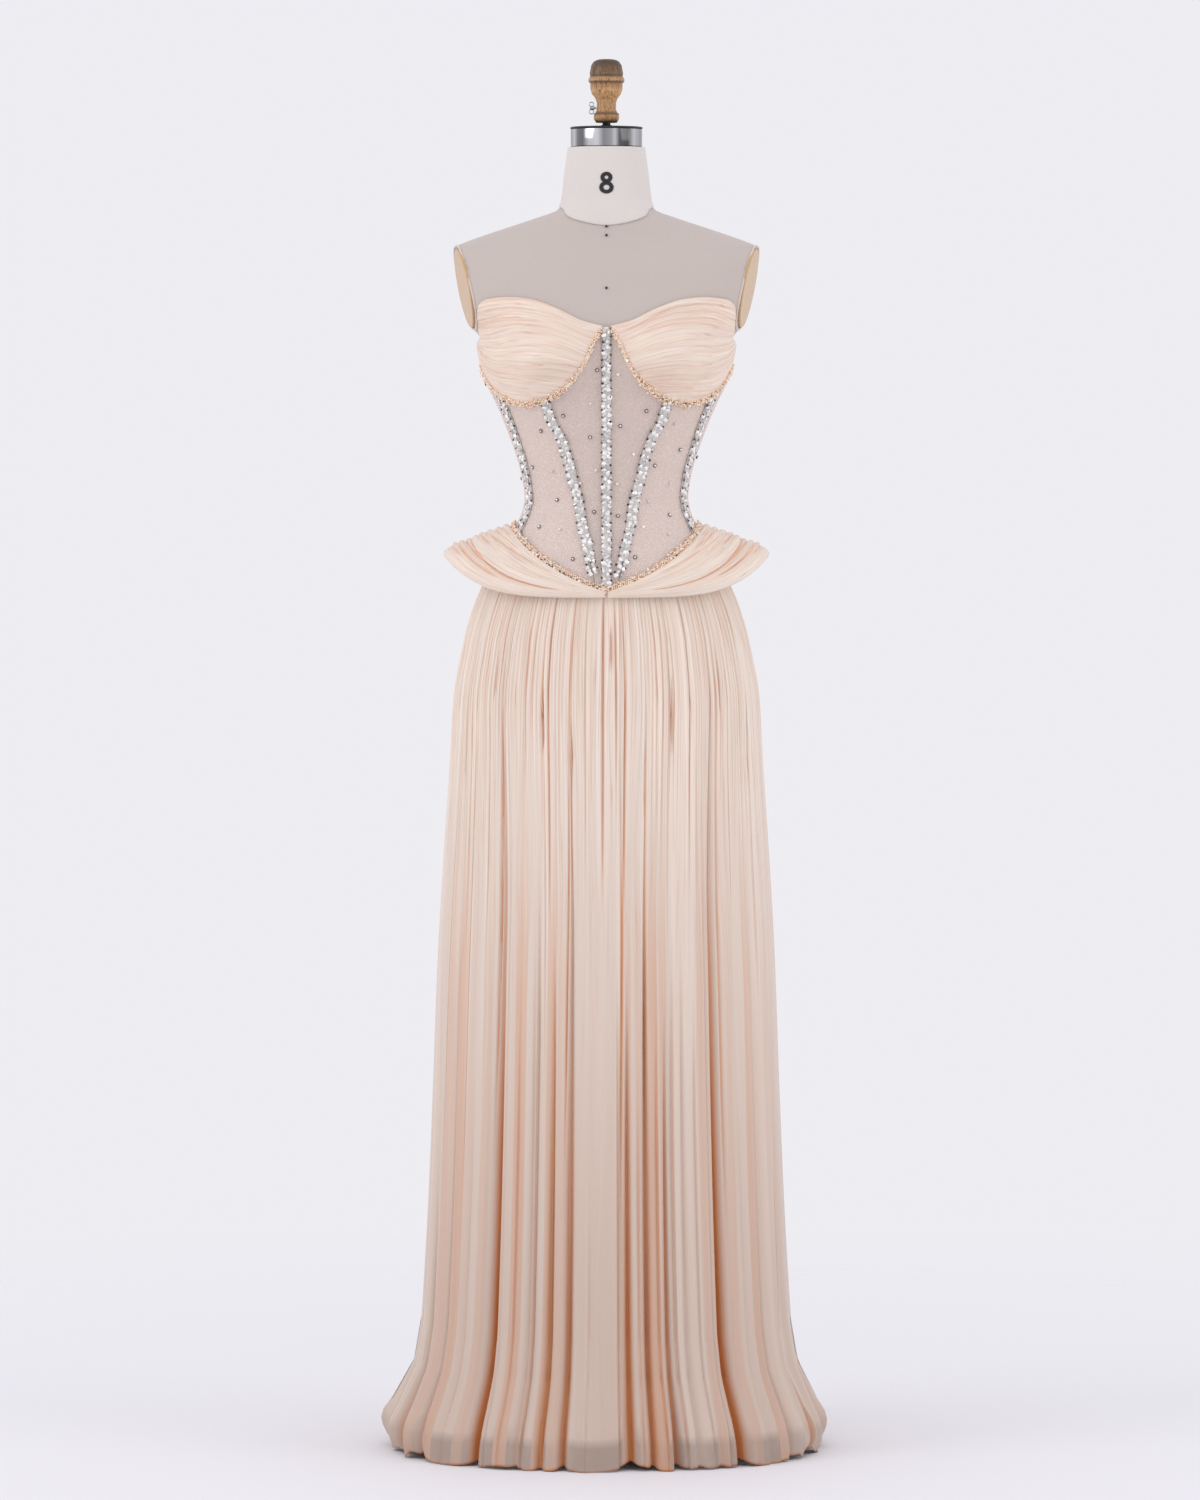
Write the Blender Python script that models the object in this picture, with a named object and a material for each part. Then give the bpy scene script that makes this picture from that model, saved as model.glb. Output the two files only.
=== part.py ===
"""Strapless evening dress on a limbless dress form, as separate closed solids in metres, +Z up.

The origin is the middle of the stand's base, on the floor. The front faces -Y and +X is the wearer's left.
Tables hold millimetres. A turn is an angle in degrees round the body: 0 at the centre front, 90 at the
wearer's left side, 180 at the centre back and -90 at the wearer's right side.
"""

import math
from collections import namedtuple

import bmesh
import bpy
import numpy as np
from mathutils import Vector

MM = 0.001

# How far each layer lies off the form's surface, inner face and outer face
GAP = 0.4
HIP_SEAM_GAP = 1.2
CORSET = (0.9, 2.1)
CUP = (0.9, 2.4)
LINING = (0.9, 1.9)
BONE = (3.5, 4.9)
SKIRT_TOP = 4.4
PEPLUM_TOP = 5.6
PEPLUM_WALL = 1.4
SKIRT_WALL = 1.1
FORM_INSET = 0.9
FORM_INSET_NECK = 1.9
FORM_BUST = 0.9

# The body that the dress is cut for, which the form fills
Section = namedtuple("Section", "height half_width front back")
ROUNDNESS = 2.2
BODY = [
    Section(880, 155, 98, 122),
    Section(940, 161, 106, 131),
    Section(1000, 164, 110, 132),
    Section(1040, 160, 110, 126),
    Section(1075, 150, 109, 117),
    Section(1110, 134, 105, 106),
    Section(1150, 114, 96, 92),
    Section(1174, 103, 90, 85),
    Section(1190, 100.5, 87, 82),
    Section(1211, 103, 87, 82),
    Section(1236, 109, 88, 84),
    Section(1261, 117.5, 90, 87),
    Section(1286, 127, 93, 91),
    Section(1311, 138, 96, 95),
    Section(1336, 149.5, 100, 98),
    Section(1361, 154.5, 104, 101),
    Section(1386, 157, 106, 103),
    Section(1402, 168, 105, 104),
    Section(1425, 182, 101, 104),
    Section(1450, 191, 94, 102),
    Section(1478, 196, 82, 96),
    Section(1500, 192, 66, 86),
    Section(1508, 176, 60, 80),
    Section(1518, 148, 57, 74),
    Section(1528, 118, 56, 68),
    Section(1538, 88, 55, 62),
    Section(1548, 62, 54, 57),
    Section(1560, 55.5, 51, 53),
    Section(1590, 52, 48, 50),
    Section(1626, 47, 44, 47),
]
BUST_RISE = 32
BUST_X = 80
BUST_HEIGHT = 1362
BUST_WIDE = 48
BUST_TALL = 42

# The edges of the bodice, as heights at turns from the centre front to the centre back
Edge = namedtuple("Edge", "turn height")
NECKLINE = [
    Edge(0, 1401),
    Edge(8, 1408),
    Edge(18, 1424),
    Edge(28, 1435),
    Edge(38, 1438),
    Edge(50, 1436),
    Edge(57, 1430),
    Edge(62, 1418),
    Edge(67, 1405),
    Edge(74, 1393),
    Edge(82, 1387),
    Edge(90, 1385),
    Edge(125, 1390),
    Edge(180, 1394),
]
CUP_FOOT = [
    Edge(0, 1398),
    Edge(2, 1395),
    Edge(5.7, 1377),
    Edge(9.6, 1354),
    Edge(17, 1331),
    Edge(29, 1314),
    Edge(43, 1307.5),
    Edge(58, 1312),
    Edge(70, 1325),
    Edge(79, 1341),
    Edge(90, 1351),
    Edge(110, 1354),
    Edge(180, 1354),
]
POINT_HEIGHT = 1074
HIP_SIDE_HEIGHT = 1150
HIP_BACK_HEIGHT = 1128

# The front bones lean in towards the point of the corset
FRONT_BONE = [
    Edge(4.6, 1088),
    Edge(6.1, 1100),
    Edge(8.6, 1124),
    Edge(14.3, 1160),
    Edge(18.2, 1190),
    Edge(21.5, 1215),
    Edge(24, 1247),
    Edge(26.2, 1265),
    Edge(29.9, 1286),
    Edge(31, 1314),
]
SIDE_BONE_TURN = 66
SIDE_BACK_BONE_TURN = 115
BONE_WIDTH = 13
BONE_FOOT_GAP = 1.2
FRONT_BONE_FOOT = 1111.0

# Columns of the bodice's pieces, shared so that the seams lie side by side
FRONT_TURNS = (1.2, 3, 5.7, 9.6, 14, 19.5, 25, 31)
SIDE_FRONT_TURNS = (31, 38, 45, 52, 59, 66)
SIDE_TURNS = (66, 74, 82, 90, 98, 106, 115)
BACK_TURNS = (115, 126, 138, 150, 163, 178.6)
SIDE_SEAM_GAP = 0.15
CORSET_SHARES = (0, 0.14, 0.26, 0.34, 0.42, 0.52, 0.66, 0.82, 0.93, 1)
BONE_BANDS = 12
CUP_PLEATS = 8
CUP_PLEAT_RISE = 1.3
BACK_BAND_PLEATS = 3

# Outer edge of the peplum, which stands out at the hips
PEPLUM_EDGE = Section(1067, 203, 123, 131)
PEPLUM_TIP_LIFT = 50
PEPLUM_TIP_POWER = 4.2
PEPLUM_ARCH = 9
PEPLUM_BEND = 0.62
PEPLUM_PLEATS = 6
PEPLUM_PLEAT_RISE = 2.2
PEPLUM_BAND_SHARE = 0.74
PEPLUM_TURNS = (0.9, 6, 12, 19, 27, 36, 45, 54, 63, 72, 81, 90, 99, 108, 118, 129, 141, 153, 166, 179.1)

# The skirt's outer reach, with the photographed outline at its sides
SKIRT = [
    Section(0, 273, 245, 262),
    Section(22, 271, 241, 258),
    Section(50, 264, 232, 248),
    Section(90, 248, 215, 231),
    Section(140, 235, 204, 218),
    Section(220, 229, 196, 209),
    Section(320, 223.5, 188, 201),
    Section(460, 217.5, 176, 190),
    Section(600, 212, 163, 179),
    Section(740, 204, 151, 168),
    Section(860, 196, 139, 158),
    Section(940, 191.5, 131, 151),
    Section(1000, 181, 124, 145),
    Section(1036, 173, 120, 137),
    Section(1075, 160, 118, 127),
    Section(1150, 122, 104, 100),
]

# How deep the fine gathers are, and how much of each groove's depth is reached, up the skirt
Level = namedtuple("Level", "height value")
GATHER = [Level(0, 0), Level(500, 0), Level(700, 1.1), Level(900, 2.2), Level(1000, 2.2), Level(1150, 1.6)]
SEAM_GATHER = 0.4
GROOVE_SHARE = [Level(0, 1.0), Level(60, 1.0), Level(300, 0.84), Level(600, 0.58), Level(800, 0.38)]
GROOVE_SHARE += [Level(940, 0.2), Level(1000, 0.07), Level(1050, 0), Level(1150, 0)]
SKIRT_LEVELS = (0.0, 28, 90, 300, 600, 860, 1008)
SKIRT_LEVELS_BY_SEAM = (0.45, 1.0)
COLUMN_STEP = 3.2
FAN_TURN = 4.5
FAN_START = 650
FAN_RISE = 400
FAN_REACH = 80
FAN_WAVE = 2.25

# Grooves between the folds of the front: where, how deep at the hem, half width and starting height
Groove = namedtuple("Groove", "turn depth half_width start")
GROOVES = [
    Groove(-71, 18, 2.2, 420),
    Groove(-58.5, 14, 2.0, 760),
    Groove(-36.6, 36, 3.6, 1150),
    Groove(-22.5, 12, 1.8, 760),
    Groove(-16.2, 20, 1.7, 640),
    Groove(-11.8, 26, 1.7, 900),
    Groove(5.6, 24, 2.0, 700),
    Groove(12.6, 26, 1.7, 820),
    Groove(17.4, 20, 1.7, 640),
    Groove(23.5, 12, 1.8, 760),
    Groove(37.2, 36, 3.6, 1150),
    Groove(56.5, 14, 2.0, 760),
    Groove(69, 18, 2.2, 420),
    Groove(84, 22, 2.6, 900),
    Groove(-85, 22, 2.6, 900),
]
GROOVE_ONSET = 320
GROOVE_FALL = 1.6
SHARPEST_MITRE = 0.35

LINING_TUBE = [
    Section(46, 205, 175, 190),
    Section(300, 189, 154, 167),
    Section(600, 181, 132, 150),
    Section(880, 168.5, 113, 135),
    Section(1000, 165.9, 111.9, 133.9),
]
LINING_LEVELS = (46, 300, 600, 880)
LINING_HIP_LEVELS = (960, 1000, 1030, 1055)
LINING_SEAM_SHARES = (0.33, 0.66, 1.0)
LINING_COLUMNS = 28

# The form above the dress and the stand under it
ARM_PLANE_POINT = (166, 0, 1396)
ARM_PLANE_NORMAL = (1, -0.19, -0.2)
ARM_PLATE_THICK = 3
ARM_PLATE_INSET = 2
TORSO_TURNS = (0, 6, 12, 20, 28, 37, 46, 56, 66, 78, 90, 104, 118, 134, 150, 165, 180)
TORSO_LEVELS = (880, 940, 1000, 1040, 1075, 1110, 1140, 1165, 1185, 1207, 1236, 1265, 1292, 1314, 1334)
TORSO_LEVELS += (1350, 1364, 1380, 1393, 1404, 1430, 1470, 1500, 1510, 1521, 1531, 1539, 1546, 1554, 1572)
TORSO_LEVELS += (1626,)
NECK_COVER = (0.8, 1.8)
NECK_SEAM_SIDE = 1553
NECK_SEAM_FRONT = 1530
NECK_SEAM_BACK = 1544
NECK_TOP = 1626
NECK_CENTRE_Y = 1.5
BAND_RADIUS = 45
BAND_HEIGHT = 22
CAP_RADIUS = 45.6
CAP_HEIGHT = 2.4
ROD_RADIUS = 5
FINIAL_BOTTOM = 1656.7
Turned = namedtuple("Turned", "height radius")
FINIAL = [
    Turned(1735.6, 0),
    Turned(1734.6, 12),
    Turned(1732.5, 16),
    Turned(1728, 19),
    Turned(1717.4, 21),
    Turned(1714.6, 20.2),
    Turned(1710.4, 22.6),
    Turned(1707.4, 22.3),
    Turned(1705.6, 20.2),
    Turned(1698, 20),
    Turned(1692.5, 18.2),
    Turned(1686.5, 13.8),
    Turned(1681.3, 12.0),
    Turned(1673.6, 12.0),
    Turned(1669.2, 13.6),
    Turned(1667.6, 15.8),
    Turned(1661.2, 15.8),
    Turned(FINIAL_BOTTOM, 13),
    Turned(FINIAL_BOTTOM, 0),
]
FINIAL_NECK_RADIUS = 12
SCREW_HEIGHT = 1675
SCREW_SIDES = 10
Wing = namedtuple("Wing", "out tall deep")
SCREW_WING = [
    Wing(0, 1.3, 1.3),
    Wing(3.2, 1.3, 1.3),
    Wing(3.6, 4.2, 1.1),
    Wing(8.2, 5.2, 1.1),
    Wing(9.4, 3.0, 0.9),
]
POLE_RADIUS = 15
BASE_RADIUS = 150
SOCKET_RADIUS = 24
SOCKET_TOP = 62
BASE_PLATE = 12
BASE_EDGE = 4

# The zip runs down the centre back of the bodice
ZIP_WIDTH = 8
ZIP_LIFT = (2.9, 3.9)
ZIP_TOP = 1391
ZIP_FOOT = 1131
SLIDER_HEIGHT = 1381
SLIDER_SIZE = (6, 1.8, 10)
PULL_SIZE = (4.4, 0.8, 21)
PULL_EYE = (2.2, 3.2)
PULL_BAR = 0.8
BRIDGE_WIDTH = 1.2
BRIDGE_HOLLOW = (1.8, 3.2)
BRIDGE_WALL = 0.8


def curve(rows):
    """A smooth function through (place, value) rows that never overshoots them."""
    places = np.array([row[0] for row in rows], float)
    values = np.array([row[1] for row in rows], float)
    step = np.diff(places)
    slope = np.diff(values) / step
    tangent = np.zeros(len(places))
    tangent[0] = slope[0]
    tangent[-1] = slope[-1]
    for i in range(1, len(places) - 1):
        if slope[i - 1] * slope[i] > 0:
            tangent[i] = 2 * slope[i - 1] * slope[i] / (slope[i - 1] + slope[i])

    def value(place):
        at = np.clip(place, places[0], places[-1])
        i = np.clip(np.searchsorted(places, at) - 1, 0, len(step) - 1)
        t = (at - places[i]) / step[i]
        near = (1 + 2 * t) * (1 - t) ** 2 * values[i] + t * (1 - t) ** 2 * step[i] * tangent[i]
        far = t * t * (3 - 2 * t) * values[i + 1] - t * t * (1 - t) * step[i] * tangent[i + 1]
        return near + far

    return value


def ease(share):
    """0 below 0, 1 above 1, with a soft start and end."""
    t = np.clip(share, 0, 1)
    return t * t * (3 - 2 * t)


def tube(sections):
    """A surface of (turn, height) through rings with the sections' half widths and depths."""
    half_width = curve([(s.height, s.half_width) for s in sections])
    front = curve([(s.height, s.front) for s in sections])
    back = curve([(s.height, s.back) for s in sections])

    def surface(turn, height):
        turn, height = np.broadcast_arrays(np.asarray(turn, float), np.asarray(height, float))
        across = np.sin(np.radians(turn))
        along = np.cos(np.radians(turn))
        power = 2 / ROUNDNESS
        depth = np.where(along > 0, front(height), back(height))
        x = half_width(height) * np.sign(across) * np.abs(across) ** power
        y = -depth * np.sign(along) * np.abs(along) ** power
        return np.stack([x, y, height], axis=-1)

    return surface


body_tube = tube(BODY)
skirt_tube = tube(SKIRT)
lining_tube = tube(LINING_TUBE)


def body(turn, height, bust=1.0):
    """The body's surface, with the bust raised on the front."""
    point = body_tube(turn, height)
    x, z = point[..., 0], point[..., 2]
    facing = ease(np.cos(np.radians(turn)) / 0.4)
    rise = np.exp(-(((np.abs(x) - BUST_X) / BUST_WIDE) ** 2) - ((z - BUST_HEIGHT) / BUST_TALL) ** 2)
    point[..., 1] -= bust * BUST_RISE * rise * facing
    return point


def lifted(surface, turn, height, rise):
    """Points of a surface moved out along its normal."""
    small = 0.05
    round_it = surface(turn + small, height) - surface(turn - small, height)
    up = surface(turn, height + small) - surface(turn, height - small)
    normal = np.cross(round_it, up)
    normal /= np.linalg.norm(normal, axis=-1, keepdims=True)
    return surface(turn, height) + normal * np.asarray(rise)[..., None]


neckline = curve(NECKLINE)
cup_foot = curve(CUP_FOOT)
front_bone_turn = curve([(e.height, e.turn) for e in FRONT_BONE])


def hip_seam(turn):
    """Height of the corset's lower edge: a point at the front, high at the sides."""
    across = np.abs(np.sin(np.radians(turn)))
    front = POINT_HEIGHT + (HIP_SIDE_HEIGHT - POINT_HEIGHT) * (0.757 * across + 0.243 * across**2)
    back = HIP_SIDE_HEIGHT - (HIP_SIDE_HEIGHT - HIP_BACK_HEIGHT) * (1 - across)
    return np.where(np.cos(np.radians(turn)) > 0, front, back)


def spaced_edge(edge, turn, gap):
    """The edge moved down by a gap that is measured square to it."""
    small = 0.1
    rise = edge(turn + small) - edge(turn - small)
    apart = body(turn + small, edge(turn)) - body(turn - small, edge(turn))
    run = np.linalg.norm(apart[..., :2], axis=-1)
    return edge(turn) - gap * np.hypot(1, rise / run)


MATERIALS = {
    "sheer_net": ((0.64, 0.50, 0.46), 0.7, 0.0),
    "draped_silk": ((0.76, 0.62, 0.54), 0.5, 0.0),
    "beaded_strip": ((0.75, 0.73, 0.72), 0.25, 0.3),
    "skirt_chiffon": ((0.70, 0.55, 0.48), 0.6, 0.0),
    "lining_satin": ((0.66, 0.54, 0.47), 0.5, 0.0),
    "form_jersey": ((0.58, 0.50, 0.46), 0.9, 0.0),
    "form_canvas": ((0.73, 0.68, 0.65), 0.9, 0.0),
    "arm_plate_board": ((0.62, 0.48, 0.34), 0.6, 0.0),
    "chromed_band": ((0.62, 0.62, 0.63), 0.15, 1.0),
    "black_plastic": ((0.03, 0.03, 0.03), 0.4, 0.0),
    "turned_beech": ((0.53, 0.34, 0.19), 0.5, 0.0),
    "stand_steel": ((0.20, 0.20, 0.21), 0.35, 0.8),
    "zip_nylon": ((0.72, 0.58, 0.50), 0.5, 0.0),
    "zip_metal": ((0.70, 0.66, 0.60), 0.3, 1.0),
}


def material(name):
    """The named material, made on first use."""
    made = bpy.data.materials.get(name)
    if made:
        return made
    colour, roughness, metallic = MATERIALS[name]
    made = bpy.data.materials.new(name)
    made.use_nodes = True
    shader = made.node_tree.nodes["Principled BSDF"]
    shader.inputs["Base Color"].default_value = (*colour, 1)
    shader.inputs["Roughness"].default_value = roughness
    shader.inputs["Metallic"].default_value = metallic
    made.diffuse_color = (*colour, 1)
    return made


def place(name, mesh_maker, finish, smooth=True):
    """Makes the named object from a bmesh in millimetres."""
    mesh_maker.normal_update()
    bmesh.ops.recalc_face_normals(mesh_maker, faces=mesh_maker.faces)
    bmesh.ops.scale(mesh_maker, vec=(MM, MM, MM), verts=mesh_maker.verts)
    mesh = bpy.data.meshes.new(name)
    mesh_maker.to_mesh(mesh)
    mesh_maker.free()
    if smooth:
        mesh.shade_smooth()
        mesh.set_sharp_from_angle(angle=math.radians(50))
    mesh.materials.append(material(finish))
    made = bpy.data.objects.new(name, mesh)
    bpy.context.scene.collection.objects.link(made)
    return made


def wall(name, inner, outer, finish, closed=False, step=1):
    """A closed wall between two grids of points, whose plain inside takes only every step-th row."""
    rows, columns = outer.shape[:2]
    built = bmesh.new()
    inside, outside = ([[built.verts.new(p) for p in row] for row in grid] for grid in (inner[::step], outer))
    last = columns if closed else columns - 1
    for c in range(last):
        n = (c + 1) % columns
        # both faces of the cloth split their quads alike, so neither passes through the other
        for low, high in zip(outside, outside[1:]):
            built.faces.new((low[c], low[n], high[n]))
            built.faces.new((low[c], high[n], high[c]))
        for low, high in zip(inside, inside[1:]):
            built.faces.new((high[n], low[n], low[c]))
            built.faces.new((high[c], high[n], low[c]))
        built.faces.new((inside[0][c], inside[0][n], outside[0][n], outside[0][c]))
        built.faces.new((outside[-1][c], outside[-1][n], inside[-1][n], inside[-1][c]))
    if not closed:
        for c in (0, -1):
            for r in range(rows - 1):
                near = inside[r // step][c]
                built.faces.new((near, outside[r][c], outside[r + 1][c]))
                if (r + 1) % step == 0:
                    built.faces.new((near, outside[r + 1][c], inside[(r + 1) // step][c]))
    return place(name, built, finish)


def stack(name, rings, finish, smooth=True):
    """A closed solid from rings of points, with its first and last ring filled flat."""
    built = bmesh.new()
    layers = [[built.verts.new(p) for p in ring] for ring in rings]
    count = len(layers[0])
    for low, high in zip(layers, layers[1:]):
        for c in range(count):
            n = (c + 1) % count
            built.faces.new((low[c], low[n], high[n], high[c]))
    built.faces.new(reversed(layers[0]))
    built.faces.new(layers[-1])
    return place(name, built, finish, smooth)


def turned(name, profile, finish, sides=16, centre=(0.0, 0.0)):
    """A solid of revolution from (height, radius) rows, listed from one end of the axis to the other."""
    built = bmesh.new()
    turns = np.radians(np.arange(sides) * 360 / sides)
    layers = []
    for height, radius in profile:
        if radius == 0:
            layers.append([built.verts.new((*centre, height))] * sides)
        else:
            ring = [(centre[0] + radius * math.cos(t), centre[1] + radius * math.sin(t)) for t in turns]
            layers.append([built.verts.new((*spot, height)) for spot in ring])
    for low, high in zip(layers, layers[1:]):
        for c in range(sides):
            n = (c + 1) % sides
            corners = []
            for corner in (low[c], low[n], high[n], high[c]):
                if corner not in corners:
                    corners.append(corner)
            if len(corners) > 2:
                built.faces.new(corners)
    for layer in (layers[0], layers[-1]):
        if layer[0] is not layer[1]:
            built.faces.new(layer)
    return place(name, built, finish)


def sides_of_wearer():
    """Suffix and sign of the wearer's left and right."""
    return (("left", 1), ("right", -1))


def mirrored(grid, sign):
    """The grid on the wearer's other side, when the sign is -1."""
    return grid * np.array([sign, 1, 1])


def corset_grid(first_turn, last_turn, shares, rises):
    """Rows of one corset panel, between two bone lines and from the hip seam up to the cup's foot."""
    shares = np.asarray(shares, float)

    def turn_at(height):
        return first_turn(height) + (last_turn(height) - first_turn(height)) * shares

    low = np.full(len(shares), 1100.0)
    high = np.full(len(shares), 1340.0)
    for _ in range(12):
        low = 0.5 * (low + hip_seam(turn_at(low)) + GAP)
        high = spaced_edge(cup_foot, turn_at(high), GAP)
    grids = []
    for rise in rises:
        rows = []
        for share in CORSET_SHARES:
            height = low + (high - low) * share
            rows.append(lifted(body, turn_at(height), height, np.full(len(shares), rise)))
        grids.append(np.array(rows))
    return grids


def fixed(turn):
    """A bone line that keeps one turn at every height."""
    return lambda height: np.full(np.shape(height), float(turn))


def shares_of(turns):
    """Turns as shares of the way from the first to the last."""
    turns = np.array(turns, float)
    return (turns - turns[0]) / (turns[-1] - turns[0])


def build_corset():
    """Four sheer panels a side, between the bones."""
    seam = SIDE_SEAM_GAP
    before_bone = lambda height: front_bone_turn(height) - seam
    after_bone = lambda height: front_bone_turn(height) + seam
    panels = [
        ("net_front", fixed(FRONT_TURNS[0]), before_bone, FRONT_TURNS),
        ("net_side_front", after_bone, fixed(SIDE_BONE_TURN - seam), SIDE_FRONT_TURNS),
        ("net_side", fixed(SIDE_BONE_TURN + seam), fixed(SIDE_BACK_BONE_TURN - seam), SIDE_TURNS),
        ("net_back", fixed(SIDE_BACK_BONE_TURN + seam), fixed(BACK_TURNS[-1]), BACK_TURNS),
    ]
    for name, first, last, turns in panels:
        inner, outer = corset_grid(first, last, shares_of(turns), CORSET)
        for side, sign in sides_of_wearer():
            wall(f"{name}_{side}", mirrored(inner, sign), mirrored(outer, sign), "sheer_net")


def bone_grid(line, low, high, rise):
    """Rows of a bone's strip, as wide everywhere, along a line of turns."""
    rows = []
    for height in np.linspace(low, high, BONE_BANDS + 1):
        middle = float(line(height))
        per_degree = np.linalg.norm(body(middle + 0.5, height) - body(middle - 0.5, height))
        half = BONE_WIDTH / 2 / per_degree
        turns = np.array([middle - half, middle, middle + half])
        above_seam = np.maximum(hip_seam(turns) + BONE_FOOT_GAP, height)
        rows.append(lifted(body, turns, above_seam, np.full(3, rise)))
    return np.array(rows)


def build_bones():
    """The beaded strips over the bones: one at the centre front and three a side."""
    low, high = POINT_HEIGHT + BONE_FOOT_GAP, float(neckline(0.0)) - 1
    centre = [bone_grid(fixed(0), low, high, rise) for rise in BONE]
    wall("bone_centre", *centre, "beaded_strip")
    lines = [
        ("bone_front", front_bone_turn, FRONT_BONE_FOOT),
        ("bone_side", fixed(SIDE_BONE_TURN), float(hip_seam(SIDE_BONE_TURN)) + BONE_FOOT_GAP),
        ("bone_side_back", fixed(SIDE_BACK_BONE_TURN), float(hip_seam(SIDE_BACK_BONE_TURN)) + BONE_FOOT_GAP),
    ]
    for name, line, foot in lines:
        head = float(cup_foot(line(1340.0))) - 3
        inner, outer = (bone_grid(line, foot, head, rise) for rise in BONE)
        for side, sign in sides_of_wearer():
            wall(f"{name}_{side}", mirrored(inner, sign), mirrored(outer, sign), "beaded_strip")


def pleated_band(turns, foot, head, pleats, rises, pleat_rise):
    """Inner and outer rows between two edges, the outer ones raised in ridges that run round the body."""
    turns = np.array(turns, float)
    low, high = foot(turns), head(turns)
    bands = 2 * pleats
    spacing = (high - low) / bands
    ridge = np.minimum(pleat_rise, 0.35 * spacing)
    ridge = ridge * ease((BACK_TURNS[-1] - turns) / 4 + 0.2)
    inner, outer = [], []
    for band in range(bands + 1):
        height = low + spacing * band
        inner.append(lifted(body, turns, height, np.full(len(turns), rises[0])))
        raised = rises[1] + (ridge if band % 2 else 0 * ridge)
        outer.append(lifted(body, turns, height, raised))
    return np.array(inner), np.array(outer)


def build_cups():
    """The two draped cups, and the band that carries them on round the back."""
    seam = SIDE_SEAM_GAP
    cup_turns = FRONT_TURNS + SIDE_FRONT_TURNS[1:] + (74, 82, 90 - seam)
    band_turns = (90 + seam, 98, 106, 115) + BACK_TURNS[1:]
    cup = pleated_band(cup_turns, cup_foot, neckline, CUP_PLEATS, CUP, CUP_PLEAT_RISE)
    band = pleated_band(band_turns, cup_foot, neckline, BACK_BAND_PLEATS, CUP, CUP_PLEAT_RISE)
    for side, sign in sides_of_wearer():
        for name, (inner, outer) in (("cup", cup), ("back_band", band)):
            wall(f"{name}_{side}", mirrored(inner, sign), mirrored(outer, sign), "draped_silk", step=2)


def peplum(turn, share):
    """The hip drape's surface, from the hip seam (share 0) out and down to its edge (share 1)."""
    turn, share = np.broadcast_arrays(np.asarray(turn, float), np.asarray(share, float))
    across = np.abs(np.sin(np.radians(turn)))
    top = lifted(body, turn, hip_seam(turn) - GAP, np.full(turn.shape, PEPLUM_TOP))
    edge = tube([PEPLUM_EDGE, PEPLUM_EDGE._replace(height=PEPLUM_EDGE.height + 1)])(turn, PEPLUM_EDGE.height)
    edge[..., 2] += PEPLUM_TIP_LIFT * across**PEPLUM_TIP_POWER
    middle = top + (edge - top) * PEPLUM_BEND
    middle[..., 2] += PEPLUM_ARCH * across
    t = share[..., None]
    return (1 - t) ** 2 * top + 2 * t * (1 - t) * middle + t * t * edge


def build_peplum():
    """The draped peplum in two halves, ridged along its pleats above a plain lower band."""
    turns = np.array(PEPLUM_TURNS, float)
    pleated = np.linspace(0, PEPLUM_BAND_SHARE, 2 * PEPLUM_PLEATS + 1)
    shares = np.concatenate([pleated, [(1 + PEPLUM_BAND_SHARE) / 2, 1.0]])
    grid_turn, grid_share = np.meshgrid(turns, shares)
    point = peplum(grid_turn, grid_share)
    small = 0.01
    round_it = peplum(grid_turn + small, grid_share) - peplum(grid_turn - small, grid_share)
    down = peplum(grid_turn, grid_share + small) - peplum(grid_turn, grid_share - small)
    normal = np.cross(down, round_it)
    normal /= np.linalg.norm(normal, axis=-1, keepdims=True)
    length = np.linalg.norm(peplum(turns, 1.0) - peplum(turns, 0.0), axis=-1)
    ridge = np.minimum(PEPLUM_PLEAT_RISE, 0.2 * length * PEPLUM_BAND_SHARE / PEPLUM_PLEATS)
    rise = np.zeros(grid_turn.shape)
    rise[1:-2:2] = ridge
    inner = point
    outer = point + normal * (PEPLUM_WALL + rise)[..., None]
    inner, outer = inner[::-1], outer[::-1]
    for side, sign in sides_of_wearer():
        wall(f"peplum_{side}", mirrored(inner, sign), mirrored(outer, sign), "draped_silk", step=2)


def all_grooves():
    """The front's grooves, and the same ones turned round to the hidden back."""
    back = [g._replace(turn=180 - g.turn) for g in GROOVES if abs(g.turn) < 80]
    return sorted(g._replace(turn=g.turn % 360) for g in GROOVES + back)


def skirt_columns():
    """Turns of the skirt's columns: three at each groove, and even ones over the folds between."""
    grooves = all_grooves()
    turns = []
    for here, after in zip(grooves, grooves[1:] + [grooves[0]._replace(turn=grooves[0].turn + 360)]):
        turns += [here.turn - here.half_width, here.turn]
        start = here.turn + here.half_width
        end = after.turn - after.half_width
        count = max(2, round((end - start) / COLUMN_STEP))
        turns += list(np.linspace(start, end, count, endpoint=False))
    return np.array(turns)


SKIRT_COLUMNS = skirt_columns()
gather = curve(GATHER)
groove_share = curve(GROOVE_SHARE)


def groove_depth(turn, height):
    """How far the skirt is drawn in between its folds."""
    deepest = np.zeros(np.broadcast(turn, height).shape)
    for groove in all_grooves():
        away = (turn - groove.turn + 180) % 360 - 180
        shape = 1 / (1 + (away / groove.half_width) ** 2) ** GROOVE_FALL
        begun = ease((groove.start - height) / GROOVE_ONSET)
        deepest = np.maximum(deepest, groove.depth * shape * begun * groove_share(height))
    return deepest


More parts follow.
